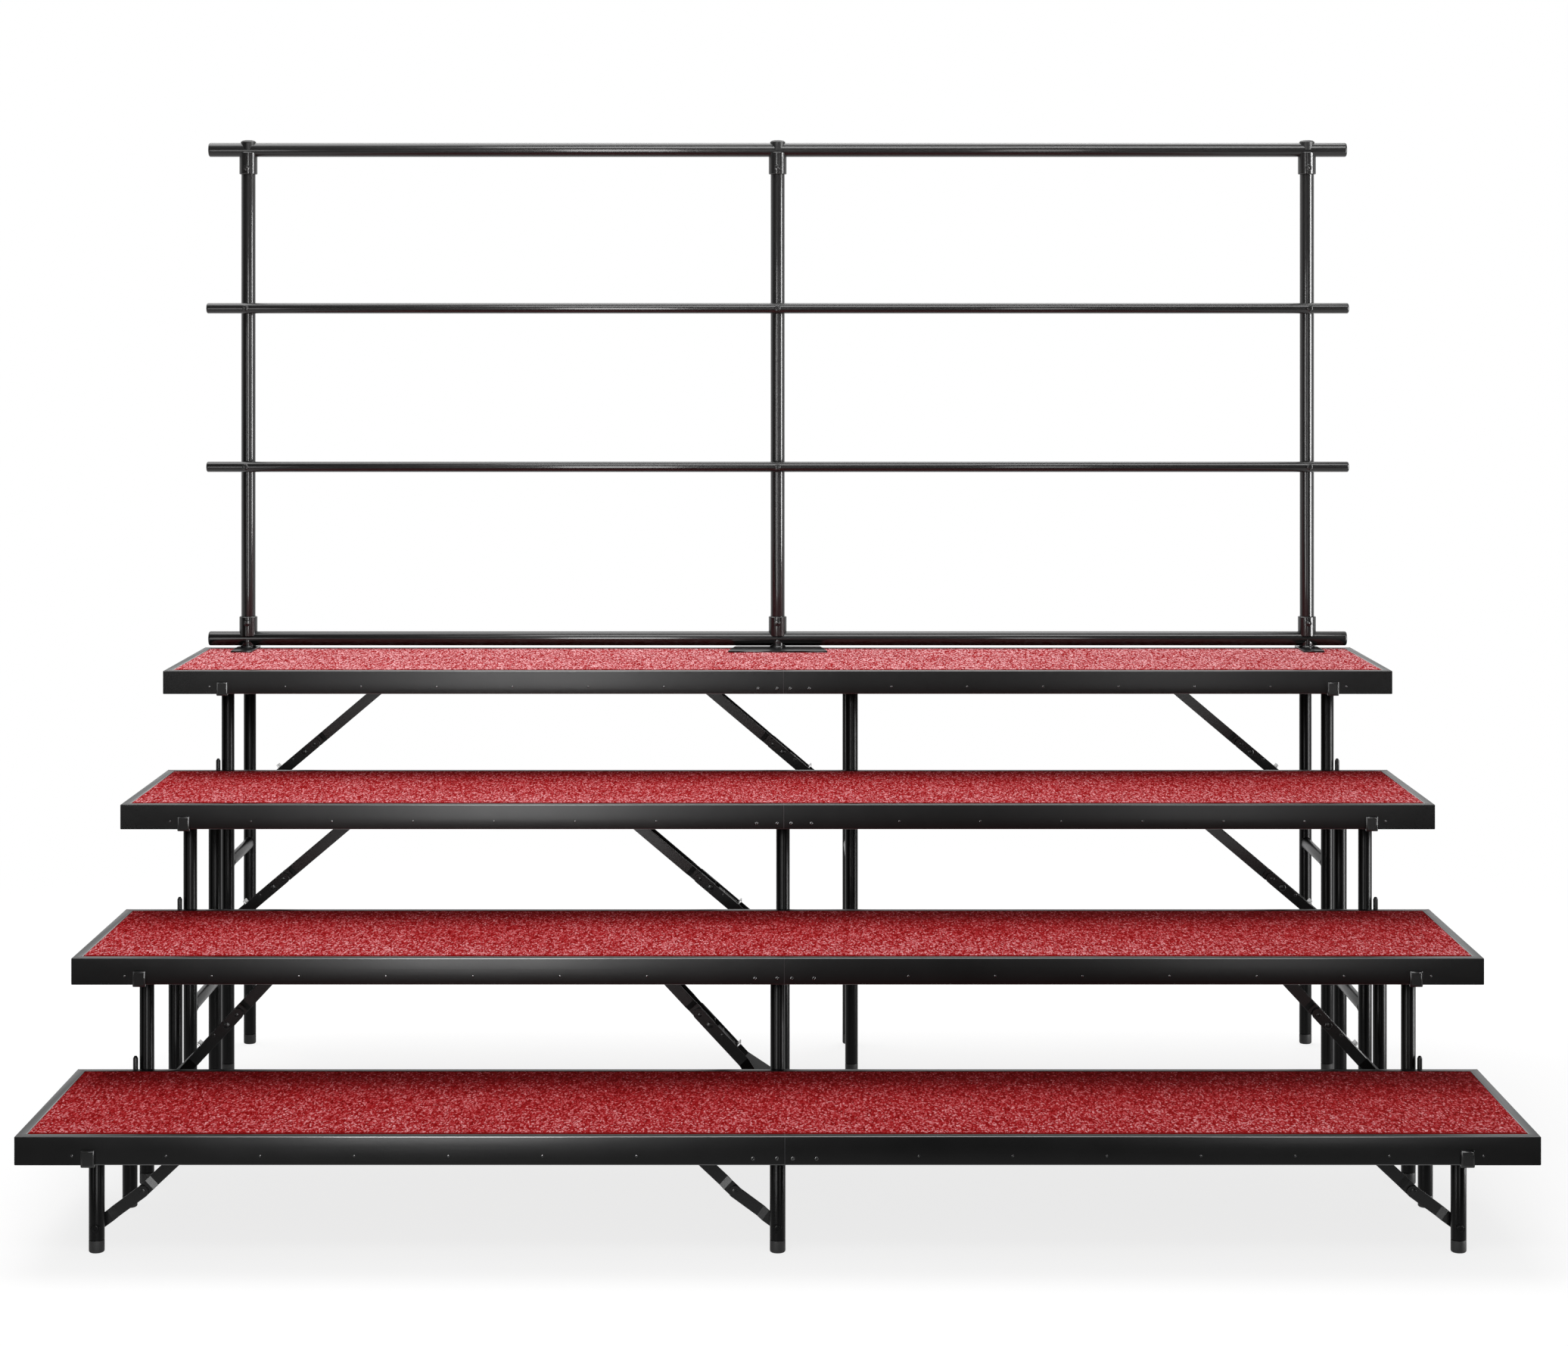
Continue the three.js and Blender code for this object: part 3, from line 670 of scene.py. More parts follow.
def frameSeams(level):
    # Seam of the two frame halves on the front, the rear and the lip, and the mitres of the lip, as thin grey
    # strips that are a painted highlight of their edges.
    low, high = frameBox(level)
    middle, halfSeam = deckFrame["seamX"], deckFrame["seamWidth"] / 2
    left, right = middle - halfSeam, middle + halfSeam
    lip, fold, proud = deckFrame["lip"], deckFrame["foldRadius"], deckFrame["seamProud"]
    half = deckFrame["mitreWidth"] / 2
    bm = bmesh.new()
    for y, way in ((low.y, -1), (high.y, 1)):
        wall = sorted((y, y + way * proud))
        addShape(bm, slab((left, wall[0], low.z + fold), (right, wall[1], high.z - fold)))
        span = sorted((y - way * fold, y - way * lip))
        addShape(bm, slab((left, span[0], high.z), (right, span[1], high.z + proud)))
        for x, side in ((low.x, 1), (high.x, -1)):
            mitre = slab((0, -half, 0), ((lip - fold) * math.sqrt(2), half, proud))
            corner = move(x + side * fold, y - way * fold, high.z)
            addShape(bm, mitre, corner @ spin(math.atan2(-way, side), "Z"))
    finishPiece(f"frameSeams_{level}", bm, seamEdge)


# Carpet and its board
carpetPad = {
    "cell": 6 * mm,
    "thickness": 5 * mm,
    "pileSpread": 0.35 * mm,
    "waveHeight": 0.5 * mm,
    "waveScale": 7.0,
    "edgeDrop": 0.8 * mm,
    "edgeReach": 7 * mm,
    "proud": 0.3 * mm,
    "seed": 40,
    "smoothAngle": 70,
    "boardInset": 0.2 * mm,
    "boardSoft": 0.4 * mm,
}


def layCarpet(level):
    node = f"carpeted_deck_{level}"
    low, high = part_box(node)
    length, depth = high.x - low.x, high.y - low.y
    columns, rows = round(length / carpetPad["cell"]), round(depth / carpetPad["cell"])
    bm = bmesh.new()
    place = move((low.x + high.x) / 2, (low.y + high.y) / 2, high.z) @ Matrix.Diagonal((length, depth, 1, 1))
    bmesh.ops.create_grid(bm, x_segments=columns, y_segments=rows, size=0.5, matrix=place)
    draw = random.Random(carpetPad["seed"] + level)
    for vert in bm.verts:
        x, y = vert.co.x, vert.co.y
        toEdge = min(x - low.x, high.x - x, y - low.y, high.y - y)
        wave = noise.noise(Vector((x, y, level)) * carpetPad["waveScale"]) * carpetPad["waveHeight"]
        tuft = draw.uniform(-1, 1) * carpetPad["pileSpread"]
        fade = min(1, toEdge / carpetPad["edgeReach"])
        drop = carpetPad["edgeDrop"] * (1 - fade) ** 2
        vert.co.z = high.z + carpetPad["proud"] + fade * (wave + tuft) - drop
    made = bmesh.ops.extrude_edge_only(bm, edges=[edge for edge in bm.edges if edge.is_boundary])
    for vert in extrudedVerts(made):
        vert.co.z = high.z - carpetPad["thickness"]
    bmesh.ops.holes_fill(bm, edges=[edge for edge in bm.edges if edge.is_boundary], sides=0)
    bmesh.ops.recalc_face_normals(bm, faces=bm.faces)
    angle = carpetPad["smoothAngle"]
    finishPiece(f"carpet_{level}", bm, piles[level], (node,), angle=angle)
    under = bmesh.new()
    inset = carpetPad["boardInset"]
    addShape(under, slab(
        (low.x + inset, low.y + inset, low.z),
        (high.x - inset, high.y - inset, high.z - carpetPad["thickness"] - inset),
        carpetPad["boardSoft"], 1,
    ))
    finishPiece(f"deckBoard_{level}", under, board)


# Leg frames
legFrame = {
    "spread": 262 * mm,
    "tube": 12.7 * mm,
    "tubeSoft": 0.6 * mm,
    "topHeight": 8 * mm,
    "topShoulder": 2.8 * mm,
    "topRadius": 10 * mm,
    "topSoft": (1.2 * mm, 0.8 * mm),  # inwards and down
    "footHeight": 20 * mm,
    "footGap": 0.5 * mm,
    "footRound": 3 * mm,
    "neck": 10.16 * mm,
    "neckReach": 2 * mm,
    "tie": 11 * mm,
    "tieDrops": {1: (0,), 2: (0, 315 * mm), 3: (0, 357 * mm), 4: (0, 357 * mm)},  # below the pivot
    "tieFromLeg": 7.62 * mm,  # end of a tie to the middle of its leg
    "weldBead": 1.6 * mm,
    "beadFlank": 0.4,
    "beadFromTube": 0.4 * mm,
    "boltWidth": 12 * mm,
    "boltHeight": 2 * mm,
    "washer": 7.6 * mm,
    "washerHeight": 0.7 * mm,
    "washerSink": 2 * mm,
}

# Where the braces hold the legs, below the leg's pivot
braceDrop = {1: 126 * mm, 2: 248 * mm, 3: 265 * mm, 4: 265 * mm}


def weldRing(bm, place, radius):
    bead = legFrame["weldBead"]
    inside, flank = radius - bead, radius + bead * legFrame["beadFlank"]
    profile = [(inside, -bead), (flank, -bead), (radius + bead, 0), (flank, bead), (inside, bead)]
    addShape(bm, turned(profile, facets["bead"], ring=True), place)


def addLeg(bm, feet, pivot, side, drop):
    # A leg with its rubber foot, and the bolt and washer that hold the brace.
    tube, soft, topRadius = legFrame["tube"], legFrame["tubeSoft"], legFrame["topRadius"]
    topIn, topDown = legFrame["topSoft"]
    bottom, top = legFrame["footHeight"] + legFrame["footGap"], pivot.z + legFrame["topHeight"]
    y = pivot.y + side * legFrame["spread"] / 2
    addShape(bm, turned([
        (0, bottom), (tube - soft, bottom), (tube, bottom + soft), (tube, pivot.z + legFrame["topShoulder"]),
        (topRadius, top - topDown), (topRadius - topIn, top), (0, top),
    ]), move(pivot.x, y))
    foot = roundedRod(tube, 0, legFrame["footHeight"], legFrame["footRound"], soft)
    addShape(feet, foot, move(pivot.x, y))
    reach = legFrame["neckReach"]
    neck = roundedRod(legFrame["neck"], legFrame["footHeight"] - reach, bottom + reach)
    addShape(feet, neck, move(pivot.x, y))
    spot = move(pivot.x, y + side * tube, pivot.z - drop) @ facing(0, side, 0)
    washer, sink, height = legFrame["washer"], legFrame["washerSink"], legFrame["washerHeight"]
    addShape(bm, turned([(0, -sink), (washer, -sink), (washer, height), (0, height)]), spot)
    addShape(bm, socketHead(legFrame["boltWidth"] / 2, legFrame["boltHeight"]), spot)


def makeLegFrame(level, place):
    name = f"{level}_{place}"
    pivot = Vector(joints[f"legs_{name}"]["pos_m"])
    half, tie = legFrame["spread"] / 2, legFrame["tie"]
    bm, feet = bmesh.new(), bmesh.new()
    for side in (-1, 1):
        addLeg(bm, feet, pivot, side, braceDrop[level])
    for drop in legFrame["tieDrops"][level]:
        end = half - legFrame["tieFromLeg"]
        addShape(bm, roundedRod(tie, -end, end), move(pivot.x, pivot.y, pivot.z - drop) @ facing(0, 1, 0))
        for side in (-1, 1):
            y = pivot.y + side * (half - legFrame["tube"] - legFrame["beadFromTube"])
            weldRing(bm, move(pivot.x, y, pivot.z - drop) @ facing(0, side, 0), tie)
    finishPiece(f"legFrame_{name}", bm, tubeCoat, (f"leg_frame_{name}",), f"legs_{name}")
    finishPiece(f"feet_{name}", feet, rubber, body=f"legs_{name}")


# Braces: X runs down a link from its upper pivot, Y along the pins
brace = {
    "width": 20 * mm,
    "thickness": 3 * mm,
    "soft": 0.5 * mm,
    "softAngle": 60,
    "bendAngle": 17,  # less than the bends of the straps, so that they show as lines
    "play": 0.3 * mm,
    "innerWidth": 48 * mm,
    "tail": 38 * mm,
    "straight": 90 * mm,
    "lugFlat": 24 * mm,
    "joggleDepth": 3.3 * mm,
    "joggleLength": 10 * mm,
    "joggleFromTail": 5 * mm,
    "pin": 4 * mm,
    "head": 6.5 * mm,
    "headHeight": 2.5 * mm,
    "headSink": 0.2 * mm,
    "stopFromKnee": 25.4 * mm,
    "stopHead": 4 * mm,
    "stopHeight": 1.4 * mm,
    "latchHead": 3.2 * mm,
    "spacer": 5 * mm,
    "spacerFromKnee": 110 * mm,
    "notchFromKnee": 26.8 * mm,
    "notchHalf": 5.5 * mm,
    "notchFloor": 1.2 * mm,
    "earThickness": 3 * mm,
    "nut": 5.5 * mm,
    "nutHeight": 2.4 * mm,
    "shortJoggleDepth": 6 * mm,
    "shortJoggleStart": 24 * mm,
    "shortUpperJoggleStart": 15 * mm,
    "shortHead": 5.2 * mm,
}
# Middle of the lugs beside the legs
lugY = legFrame["spread"] / 2 - legFrame["tube"] - brace["play"] - brace["thickness"] / 2


def bentStrap(line, notch=None):
    # A flat strap with round ends, bent along line: (x, y) points of its middle, width along Z.
    # notch is (x, half width, floor): a piece cut out of its upper edge down to the floor.
    xs = [x for x, _ in line]
    radius, steps = brace["width"] / 2, facets["rod"]
    shape = bmesh.new()
    turn = spin(math.pi / steps, "Z")
    bmesh.ops.create_circle(shape, cap_ends=True, segments=steps, radius=radius, matrix=turn)
    left, right = min(xs) + radius, max(xs) - radius
    for vert in shape.verts:
        vert.co.x += right if vert.co.x > 0 else left
    cuts = [x for x in xs if left < x < right]
    if notch:
        cuts += [notch[0] - notch[1], notch[0] + notch[1]]
    for x in cuts:
        sliceAt(shape, (x, 0, 0), (1, 0, 0))
    if notch:
        cutNotch(shape, *notch)
    made = bmesh.ops.extrude_face_region(shape, geom=shape.faces[:])
    bmesh.ops.translate(shape, verts=extrudedVerts(made), vec=(0, 0, 1))
    for vert in shape.verts:
        x, across = vert.co.x, vert.co.y
        middle, lean = followLine(line, x)
        out = (vert.co.z - 0.5) * brace["thickness"]
        vert.co = (x + out * lean.x, middle + out * lean.y, across)
    bmesh.ops.recalc_face_normals(shape, faces=shape.faces)
    softenEdges(shape, sharpEdges(shape, brace["softAngle"]), brace["soft"], 1)
    return shape


def cutNotch(shape, x, half, floor):
    def facesInNotch():
        return [face for face in shape.faces if abs(face.calc_center_median().x - x) < half]

    slot = facesInNotch()
    edges = [edge for face in slot for edge in face.edges]
    verts = [vert for face in slot for vert in face.verts]
    sliceAt(shape, (0, floor, 0), (0, 1, 0), list(dict.fromkeys(slot + edges + verts)))
    above = [face for face in facesInNotch() if face.calc_center_median().y > floor]
    bmesh.ops.delete(shape, geom=above, context="FACES")


def followLine(line, x):
    # Middle of the strap at x, and the way its thickness points there, mitred at the bends.
    lastPart = len(line) - 2
    i = next((i for i in range(lastPart) if x <= line[i + 1][0]), lastPart)
    start, end = Vector(line[i]), Vector(line[i + 1])
    here = other = (end - start).normalized()
    if i < lastPart and abs(x - line[i + 1][0]) < weldDistance:
        other = (Vector(line[i + 2]) - end).normalized()
    mitre = (here + other).normalized()
    middle = line[i][1] + (line[i + 1][1] - line[i][1]) * (x - line[i][0]) / (line[i + 1][0] - line[i][0])
    return middle, Vector((-mitre.y, mitre.x)) / mitre.dot(here)


def linkPlaces(name, level):
    # The way that a brace leans, then for the lower and the upper link its place and its length.
    pivot = Vector(joints[f"legs_{name}"]["pos_m"])
    anchor = Vector(joints[f"upper_link_{name}"]["pos_m"])
    knee = Vector(joints[f"lower_link_{name}"]["pos_m"])
    way = 1 if anchor.x > pivot.x else -1
    turn = spin(0 if way > 0 else math.pi, "Z")
    kneeX, kneeZ = abs(knee.x - pivot.x), knee.z - pivot.z
    fromKnee, drop = abs(anchor.x - pivot.x) - kneeX, kneeZ + braceDrop[level]
    lowerTurn = spin(-math.atan2(drop, kneeX) - math.pi, "Y")
    upperTurn = spin(-math.atan2(-kneeZ, fromKnee) - math.pi, "Y")
    lower = (move(*knee) @ turn @ lowerTurn, math.hypot(kneeX, drop))
    upper = (move(*anchor) @ turn @ upperTurn, math.hypot(fromKnee, kneeZ))
    return way, lower, upper


def addPin(bm, radius, start, end, x=0.0):
    rod = roundedRod(radius, min(start, end), max(start, end), steps=facets["pin"])
    addShape(bm, rod, move(x) @ facing(0, 1, 0))


def addHead(bm, x, y, side, radius, height, z=0.0):
    addShape(bm, domedHead(radius, height), move(x, y, z) @ facing(0, side, 0))


def addNut(bm, x, side):
    nut = hexHead(2 * brace["nut"], brace["nutHeight"])
    addShape(bm, nut, move(x, side * (lugY - brace["thickness"] / 2)) @ facing(0, -side, 0))


def finishLink(which, name, bm, place):
    bm.transform(place)
    finishPiece(
        f"{which}Link_{name}", bm, coat, (f"brace_{which}_{name}",), f"{which}_link_{name}",
        angle=brace["bendAngle"],
    )


def makeLowerLink(level, place):
    name = f"{level}_{place}"
    _, (toWorld, length), _ = linkPlaces(name, level)
    strapY = (brace["innerWidth"] + brace["thickness"]) / 2
    outer = brace["innerWidth"] / 2 + brace["thickness"]
    bm = bmesh.new()
    for side in (-1, 1):
        addShape(bm, bentStrap([
            (-brace["tail"], side * strapY),
            (brace["straight"], side * strapY),
            (length - brace["lugFlat"] / 2, side * lugY),
            (length + brace["width"] / 2, side * lugY),
        ]))
        y = side * (outer - brace["headSink"])
        addHead(bm, 0, y, side, brace["head"], brace["headHeight"])
        addHead(bm, -brace["stopFromKnee"], y, side, brace["stopHead"], brace["stopHeight"])
        addHead(bm, latch["fromKnee"], y, side, brace["latchHead"], brace["stopHeight"], -latch["offCentre"])
        addNut(bm, length, side)
    addPin(bm, brace["pin"], -outer, outer)
    finishLink("lower", name, bm, toWorld)


def makeUpperLink(level, place):
    name = f"{level}_{place}"
    _, _, (toWorld, length) = linkPlaces(name, level)
    outY = brace["innerWidth"] / 2 - brace["play"] - brace["thickness"] / 2
    kneeY = outY - brace["joggleDepth"]
    earY = brace["innerWidth"] / 2 + 2 * brace["play"] + brace["earThickness"]
    joggleEnd = length - brace["tail"] - brace["joggleFromTail"]
    notch = (length - brace["notchFromKnee"], brace["notchHalf"], brace["notchFloor"])  # clears the latch pin
    bm = bmesh.new()
    for side in (-1, 1):
        addShape(bm, bentStrap([
            (-brace["width"] / 2, side * outY),
            (joggleEnd - brace["joggleLength"], side * outY),
            (joggleEnd, side * kneeY),
            (length + brace["width"] / 2, side * kneeY),
        ], notch))
        addHead(bm, 0, side * earY, side, brace["head"], brace["headHeight"])
    addPin(bm, brace["pin"], -earY, earY)
    addPin(bm, brace["spacer"], -outY, outY, length - brace["spacerFromKnee"])
    finishLink("upper", name, bm, toWorld)


def shortStrap(length, side, mainY, endY, joggleStart):
    # One strap of the lowest riser, with the pin of its upper pivot.
    start, half, t = length - joggleStart, brace["width"] / 2, brace["thickness"]
    bm = bmesh.new()
    addShape(bm, bentStrap([
        (-half, mainY), (start - brace["joggleLength"], mainY), (start, endY), (length + half, endY),
    ]))
    backY = mainY - side * (t * 1.5 + 2 * brace["play"])
    addPin(bm, brace["pin"], mainY, backY - side * brace["headHeight"])
    addHead(bm, 0, backY, -side, brace["head"], brace["headHeight"])
    addHead(bm, 0, mainY + side * t / 2, side, brace["shortHead"], brace["stopHeight"])
    return bm


def makeShortBrace(place):
    # Single straps beside the front leg of the lowest riser.
    name = f"1_{place}"
    way, (lowerPlace, lowerLength), (upperPlace, upperLength) = linkPlaces(name, 1)
    side = -way
    lowerY = side * (lugY - brace["shortJoggleDepth"])
    bm = shortStrap(lowerLength, side, lowerY, side * lugY, brace["shortJoggleStart"])
    addNut(bm, lowerLength, side)
    finishLink("lower", name, bm, lowerPlace)
    kneeY = lowerY - side * (brace["thickness"] + brace["play"])
    upperY = kneeY - side * brace["joggleDepth"]
    bm = shortStrap(upperLength, side, upperY, kneeY, brace["shortUpperJoggleStart"])
    finishLink("upper", name, bm, upperPlace)


# Latch levers
latch = {
    "fromKnee": 28 * mm,
    "offCentre": 5 * mm,
    "width": 30 * mm,
    "nose": 12 * mm,
    "reach": 36 * mm,
    "tabHeight": 12 * mm,
    "sheet": 2.4 * mm,
    "pin": 2.5 * mm,
    "pinReach": 25.5 * mm,
    "soft": 0.5 * mm,
}


def makeLatch(level, place):
    name = f"{level}_{place}"
    _, (lowerPlace, _), _ = linkPlaces(name, level)
    half, sheet, soft = latch["width"] / 2, latch["sheet"], latch["soft"]
    nose, root = -latch["nose"], latch["reach"] - sheet
    lever, tab = bmesh.new(), bmesh.new()
    addShape(lever, slab((nose, -half, -sheet / 2), (root + sheet / 2, half, sheet / 2), soft))
    addShape(tab, slab((root, -half, -latch["tabHeight"]), (latch["reach"], half, sheet / 2), soft))
    for side in (-1, 1):
        wall = sorted((side * half, side * (half - sheet)))
        addShape(lever, slab((nose, wall[0], -sheet), (root, wall[1], sheet), soft))
    addPin(lever, latch["pin"], -latch["pinReach"], latch["pinReach"])
    latchPlace = lowerPlace @ move(latch["fromKnee"], 0, -latch["offCentre"])
    for bm in (lever, tab):
        bm.transform(latchPlace)
    body = f"latch_{name}"
    # The lever plate takes the darker zinc, painted shade between the straps
    finishPiece(f"latchLever_{name}", lever, paintedShadeZinc, (f"brace_latch_{name}",), body)
    finishPiece(f"latchTab_{name}", tab, zinc, (), body)


# Guard rail
guard = {
    "rail": 15 * mm,
    "midRail": 11 * mm,
    "endRound": 3.5 * mm,
    "postRound": 0.5 * mm,
    "play": 0.3 * mm,
    "sleeve": 19 * mm,
    "sleeveSoft": 1.2 * mm,
    "sleeveHeight": 32 * mm,  # of the bottom ones, above their rail
    "sleeveStart": 5.25 * mm,  # from the middle of the rail
    "plug": 16 * mm,
    "plugHeight": 6 * mm,
    "plugDome": ((1, 0.3), (0.8, 0.72), (0.45, 0.94), (0, 1)),  # shares of radius and height
    "plate": 4 * mm,
    "plateSoft": 1 * mm,
    "plateSharp": 50,
    "plateDepth": 115 * mm,
    "plateWidths": {"left": (44 * mm, 44 * mm), "centre": (208 * mm, 175 * mm), "right": (44 * mm, 44 * mm)},
    "flange": 30 * mm,
    "stubSink": 1 * mm,
    "beadOut": 0.6 * mm,
    "screw": 6.7 * mm,
    "screwHeight": 3.2 * mm,
    "screwSink": 0.4 * mm,
    "hexWidth": 13 * mm,
    "hexHeight": 4.2 * mm,
    "domeRadius": 4.02 * mm,
    "domeHeight": 5.25 * mm,
    "boltUp": 13 * mm,  # from the free end of the sleeve
    "boltSink": 0.3 * mm,
    "boltTurn": 20,  # of the bottom ones
    "slit": 1 * mm,
    "slitProud": 0.12 * mm,
    "slitAngle": 32,
}


def postPlaces():
    boxes = [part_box(f"guard_post_{place}") for place in places]
    return [((low.x + high.x) / 2, (low.y + high.y) / 2) for low, high in boxes]


def addRail(bm, node, radius, y, z):
    low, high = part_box(node)
    rod = roundedRod(radius, low.x, high.x, guard["endRound"], guard["endRound"], facets["rail"])
    addShape(bm, rod, move(0, y, z) @ facing(1, 0, 0))


def addSleeve(bm, x, y, bottom, top, boltZ, boltTurn=0):
    # Sleeve with its hexagon bolt, whose shank ends in a dome.
    inside, outside, soft = guard["rail"] + guard["play"], guard["sleeve"], guard["sleeveSoft"]
    profile = [(inside, bottom), (outside - soft, bottom), (outside, bottom + soft)]
    profile += [(outside, top - soft), (outside - soft, top), (inside, top)]
    addShape(bm, turned(profile, facets["rail"], ring=True), move(x, y))
    turn = facing(0, -1, 0) @ spin(math.radians(boltTurn), "Z")
    spot = move(x, y - outside + guard["boltSink"], boltZ) @ turn
    addShape(bm, hexHead(guard["hexWidth"], guard["hexHeight"]), spot)
    addShape(bm, domedHead(guard["domeRadius"], guard["domeHeight"]), spot)


def addSlit(bm, x, y, bottom, top):
    half, proud = guard["slit"] / 2, guard["slitProud"]
    place = move(x, y) @ spin(math.radians(guard["slitAngle"]), "Z") @ move(0, -guard["sleeve"])
    addShape(bm, slab((-half, -proud, bottom), (half, proud, top)), place)


def makeTopRail():
    node = "guard_top_rail"
    low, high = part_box(node)
    rail, plug = guard["rail"], guard["plug"]
    posts = postPlaces()
    axisZ = high.z - guard["plugHeight"] - rail
    bm, plugs = bmesh.new(), bmesh.new()
    addRail(bm, node, rail, posts[0][1], axisZ)
    for x, y in posts:
        addSleeve(bm, x, y, low.z, axisZ - guard["sleeveStart"], low.z + guard["boltUp"])
        dome = [(plug * across, rail + guard["plugHeight"] * up) for across, up in guard["plugDome"]]
        addShape(plugs, turned([(0, 0), (plug, 0)] + dome), move(x, y, axisZ))
        addSlit(plugs, x, y, low.z + guard["sleeveSoft"], axisZ - rail)
    finishPiece("topRail", bm, railCoat, (node,))
    finishPiece("topRailPlugs", plugs, plastic)


def makeBottomRail():
    node = "guard_bottom_rail"
    _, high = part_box(node)
    rail = guard["rail"]
    posts = postPlaces()
    axisZ = high.z - guard["sleeveHeight"] - rail
    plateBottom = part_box("carpeted_deck_4")[1].z + guard["play"]
    plateTop = plateBottom + guard["plate"]
    bm, slits = bmesh.new(), bmesh.new()
    addRail(bm, node, rail, posts[0][1], axisZ)
    for place, (x, y) in zip(places, posts):
        addSleeve(bm, x, y, axisZ + guard["sleeveStart"], high.z, high.z - guard["boltUp"], guard["boltTurn"])
        addShape(bm, roundedRod(rail, plateTop - guard["stubSink"], axisZ), move(x, y))
        weldRing(bm, move(x, y, plateTop), rail + guard["beadOut"])
        addSlit(slits, x, y, axisZ + rail, high.z - guard["sleeveSoft"])
        addShape(bm, basePlate(x, *guard["plateWidths"][place], plateBottom, plateTop))
    finishPiece("bottomRail", bm, railCoat, (node,))
    finishPiece("sleeveSlits", slits, plastic)


def basePlate(x, front, rear, bottom, top):
    # A plate that is front wide at the front and rear at the rear, where a flange hangs down.
    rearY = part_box("guard_bottom_rail")[1].y
    flangeY = rearY - guard["plate"]
    shape = slab((x - front / 2, rearY - guard["plateDepth"], bottom), (x + front / 2, rearY, top))
    for vert in shape.verts:
        if abs(vert.co.y - rearY) < weldDistance:
            vert.co.x = x + math.copysign(rear / 2, vert.co.x - x)
    sliceAt(shape, (0, flangeY, 0), (0, 1, 0))
    under = [face for face in shape.faces if face.normal.z < -0.9 and face.calc_center_median().y > flangeY]
    made = bmesh.ops.extrude_face_region(shape, geom=under)
    bmesh.ops.delete(shape, geom=under, context="FACES_ONLY")
    bmesh.ops.translate(shape, verts=extrudedVerts(made), vec=(0, 0, guard["plate"] - guard["flange"]))
    bmesh.ops.recalc_face_normals(shape, faces=shape.faces)
    softenEdges(shape, sharpEdges(shape, guard["plateSharp"]), guard["plateSoft"])
    return shape


def makeMidRail(which):
    node = f"guard_mid_rail_{which}"
    low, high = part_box(node)
    radius = guard["midRail"]
    axisY, axisZ = high.y - radius, (low.z + high.z) / 2
    bm = bmesh.new()
    addRail(bm, node, radius, axisY, axisZ)
    for x, _ in postPlaces():
        spot = move(x, axisY - radius + guard["screwSink"], axisZ) @ facing(0, -1, 0)
        addShape(bm, socketHead(guard["screw"], guard["screwHeight"]), spot)
    finishPiece(f"midRail_{which}", bm, railCoat, (node,))


def makePost(place):
    node = f"guard_post_{place}"
    low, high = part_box(node)
    bm = bmesh.new()
    rod = roundedRod(guard["rail"], low.z, high.z, guard["postRound"], guard["postRound"], facets["rail"])
    addShape(bm, rod, move((low.x + high.x) / 2, (low.y + high.y) / 2))
    finishPiece(f"post_{place}", bm, railCoat, (node,))


# Camera, as found from the corners of the four decks in the photograph
cameraFit = {
    "distance": 5.038,  # in front of the lowest deck's front edge
    "height": 1.4996,
    "lens": 72.43,
    "sensor": 36.0,
    "shiftX": 0.00405,
    "shiftY": -0.2222,
    "farEnd": 100,
}


def placeCamera():
    data = bpy.data.cameras.new("photoCamera")
    data.lens = cameraFit["lens"]
    data.sensor_width = cameraFit["sensor"]
    data.sensor_fit = "HORIZONTAL"
    data.shift_x = cameraFit["shiftX"]
    data.shift_y = cameraFit["shiftY"]
    data.clip_end = cameraFit["farEnd"]
    camera = newObject("photoCamera", data)
    camera.location = (0, frameBox(1)[0].y - cameraFit["distance"], cameraFit["height"])
    camera.rotation_euler = (math.pi / 2, 0, 0)
    bpy.context.scene.camera = camera


# Studio: white backdrop, a large soft box above, a weaker one in front, lamps that only show as highlights
studio = {
    "floorSize": 60.0,
    "floorAlbedo": 0.08,
    "floorSeen": 0.28,  # what the camera sees of the same floor
    "floorLift": 0.80,
    "floorRoughness": 0.9,
    "floorMirrored": (-1.6, -0.9),  # nearer the camera the floor is dark in reflections, from and to
    "shadowReach": (1.2, 3.6),  # beyond this distance the floor runs into the white backdrop
    "skyForLight": 0.36,
    "skyBehindCamera": 0.06,
    "skyTurn": (-0.3, 0.1),  # where the sky turns from dark to white, from and to
    "lamps": [
        # name, place, aim, size, watts, seen only in reflections
        ("softAbove", (-0.4, 1.3, 3.7), (0, -0.1, 0.3), (4.6, 2.4), 130, False),
        ("softFront", (-0.4, -3.4, 4.2), (0, 0, 0.6), (3.0, 1.0), 26, False),
        ("stripLeft", (-0.69, -2.4, 1.03), (-0.5, 0, 0.9), (0.5, 2.0), 50, True),
        ("stripRight", (1.12, -2.4, 1.03), (0.8, 0, 0.9), (0.36, 2.0), 14, True),
        ("boxRight", (3.1, -0.5, 1.25), (-0.6, 1.0, 1.1), (0.8, 2.4), 190, True),
        ("boxLeft", (-2.4, -2.5, 0.9), (0, -0.6, 0.3), (0.5, 1.6), 11, True),
        ("stripTop", (0.6, -0.95, 3.5), (0.4, 1.0, 1.4), (3.4, 0.9), 85, True),
    ],
}


def lightStudio():
    for name, where, aim, size, power, glossOnly in studio["lamps"]:
        data = bpy.data.lights.new(name, "AREA")
        data.shape = "RECTANGLE"
        data.size, data.size_y = size
        data.energy = power
        lamp = newObject(name, data)
        lamp.location = where
        lamp.rotation_euler = (Vector(aim) - Vector(where)).to_track_quat("-Z", "Y").to_euler()
        lamp.visible_camera = False
        lamp.visible_diffuse = not glossOnly


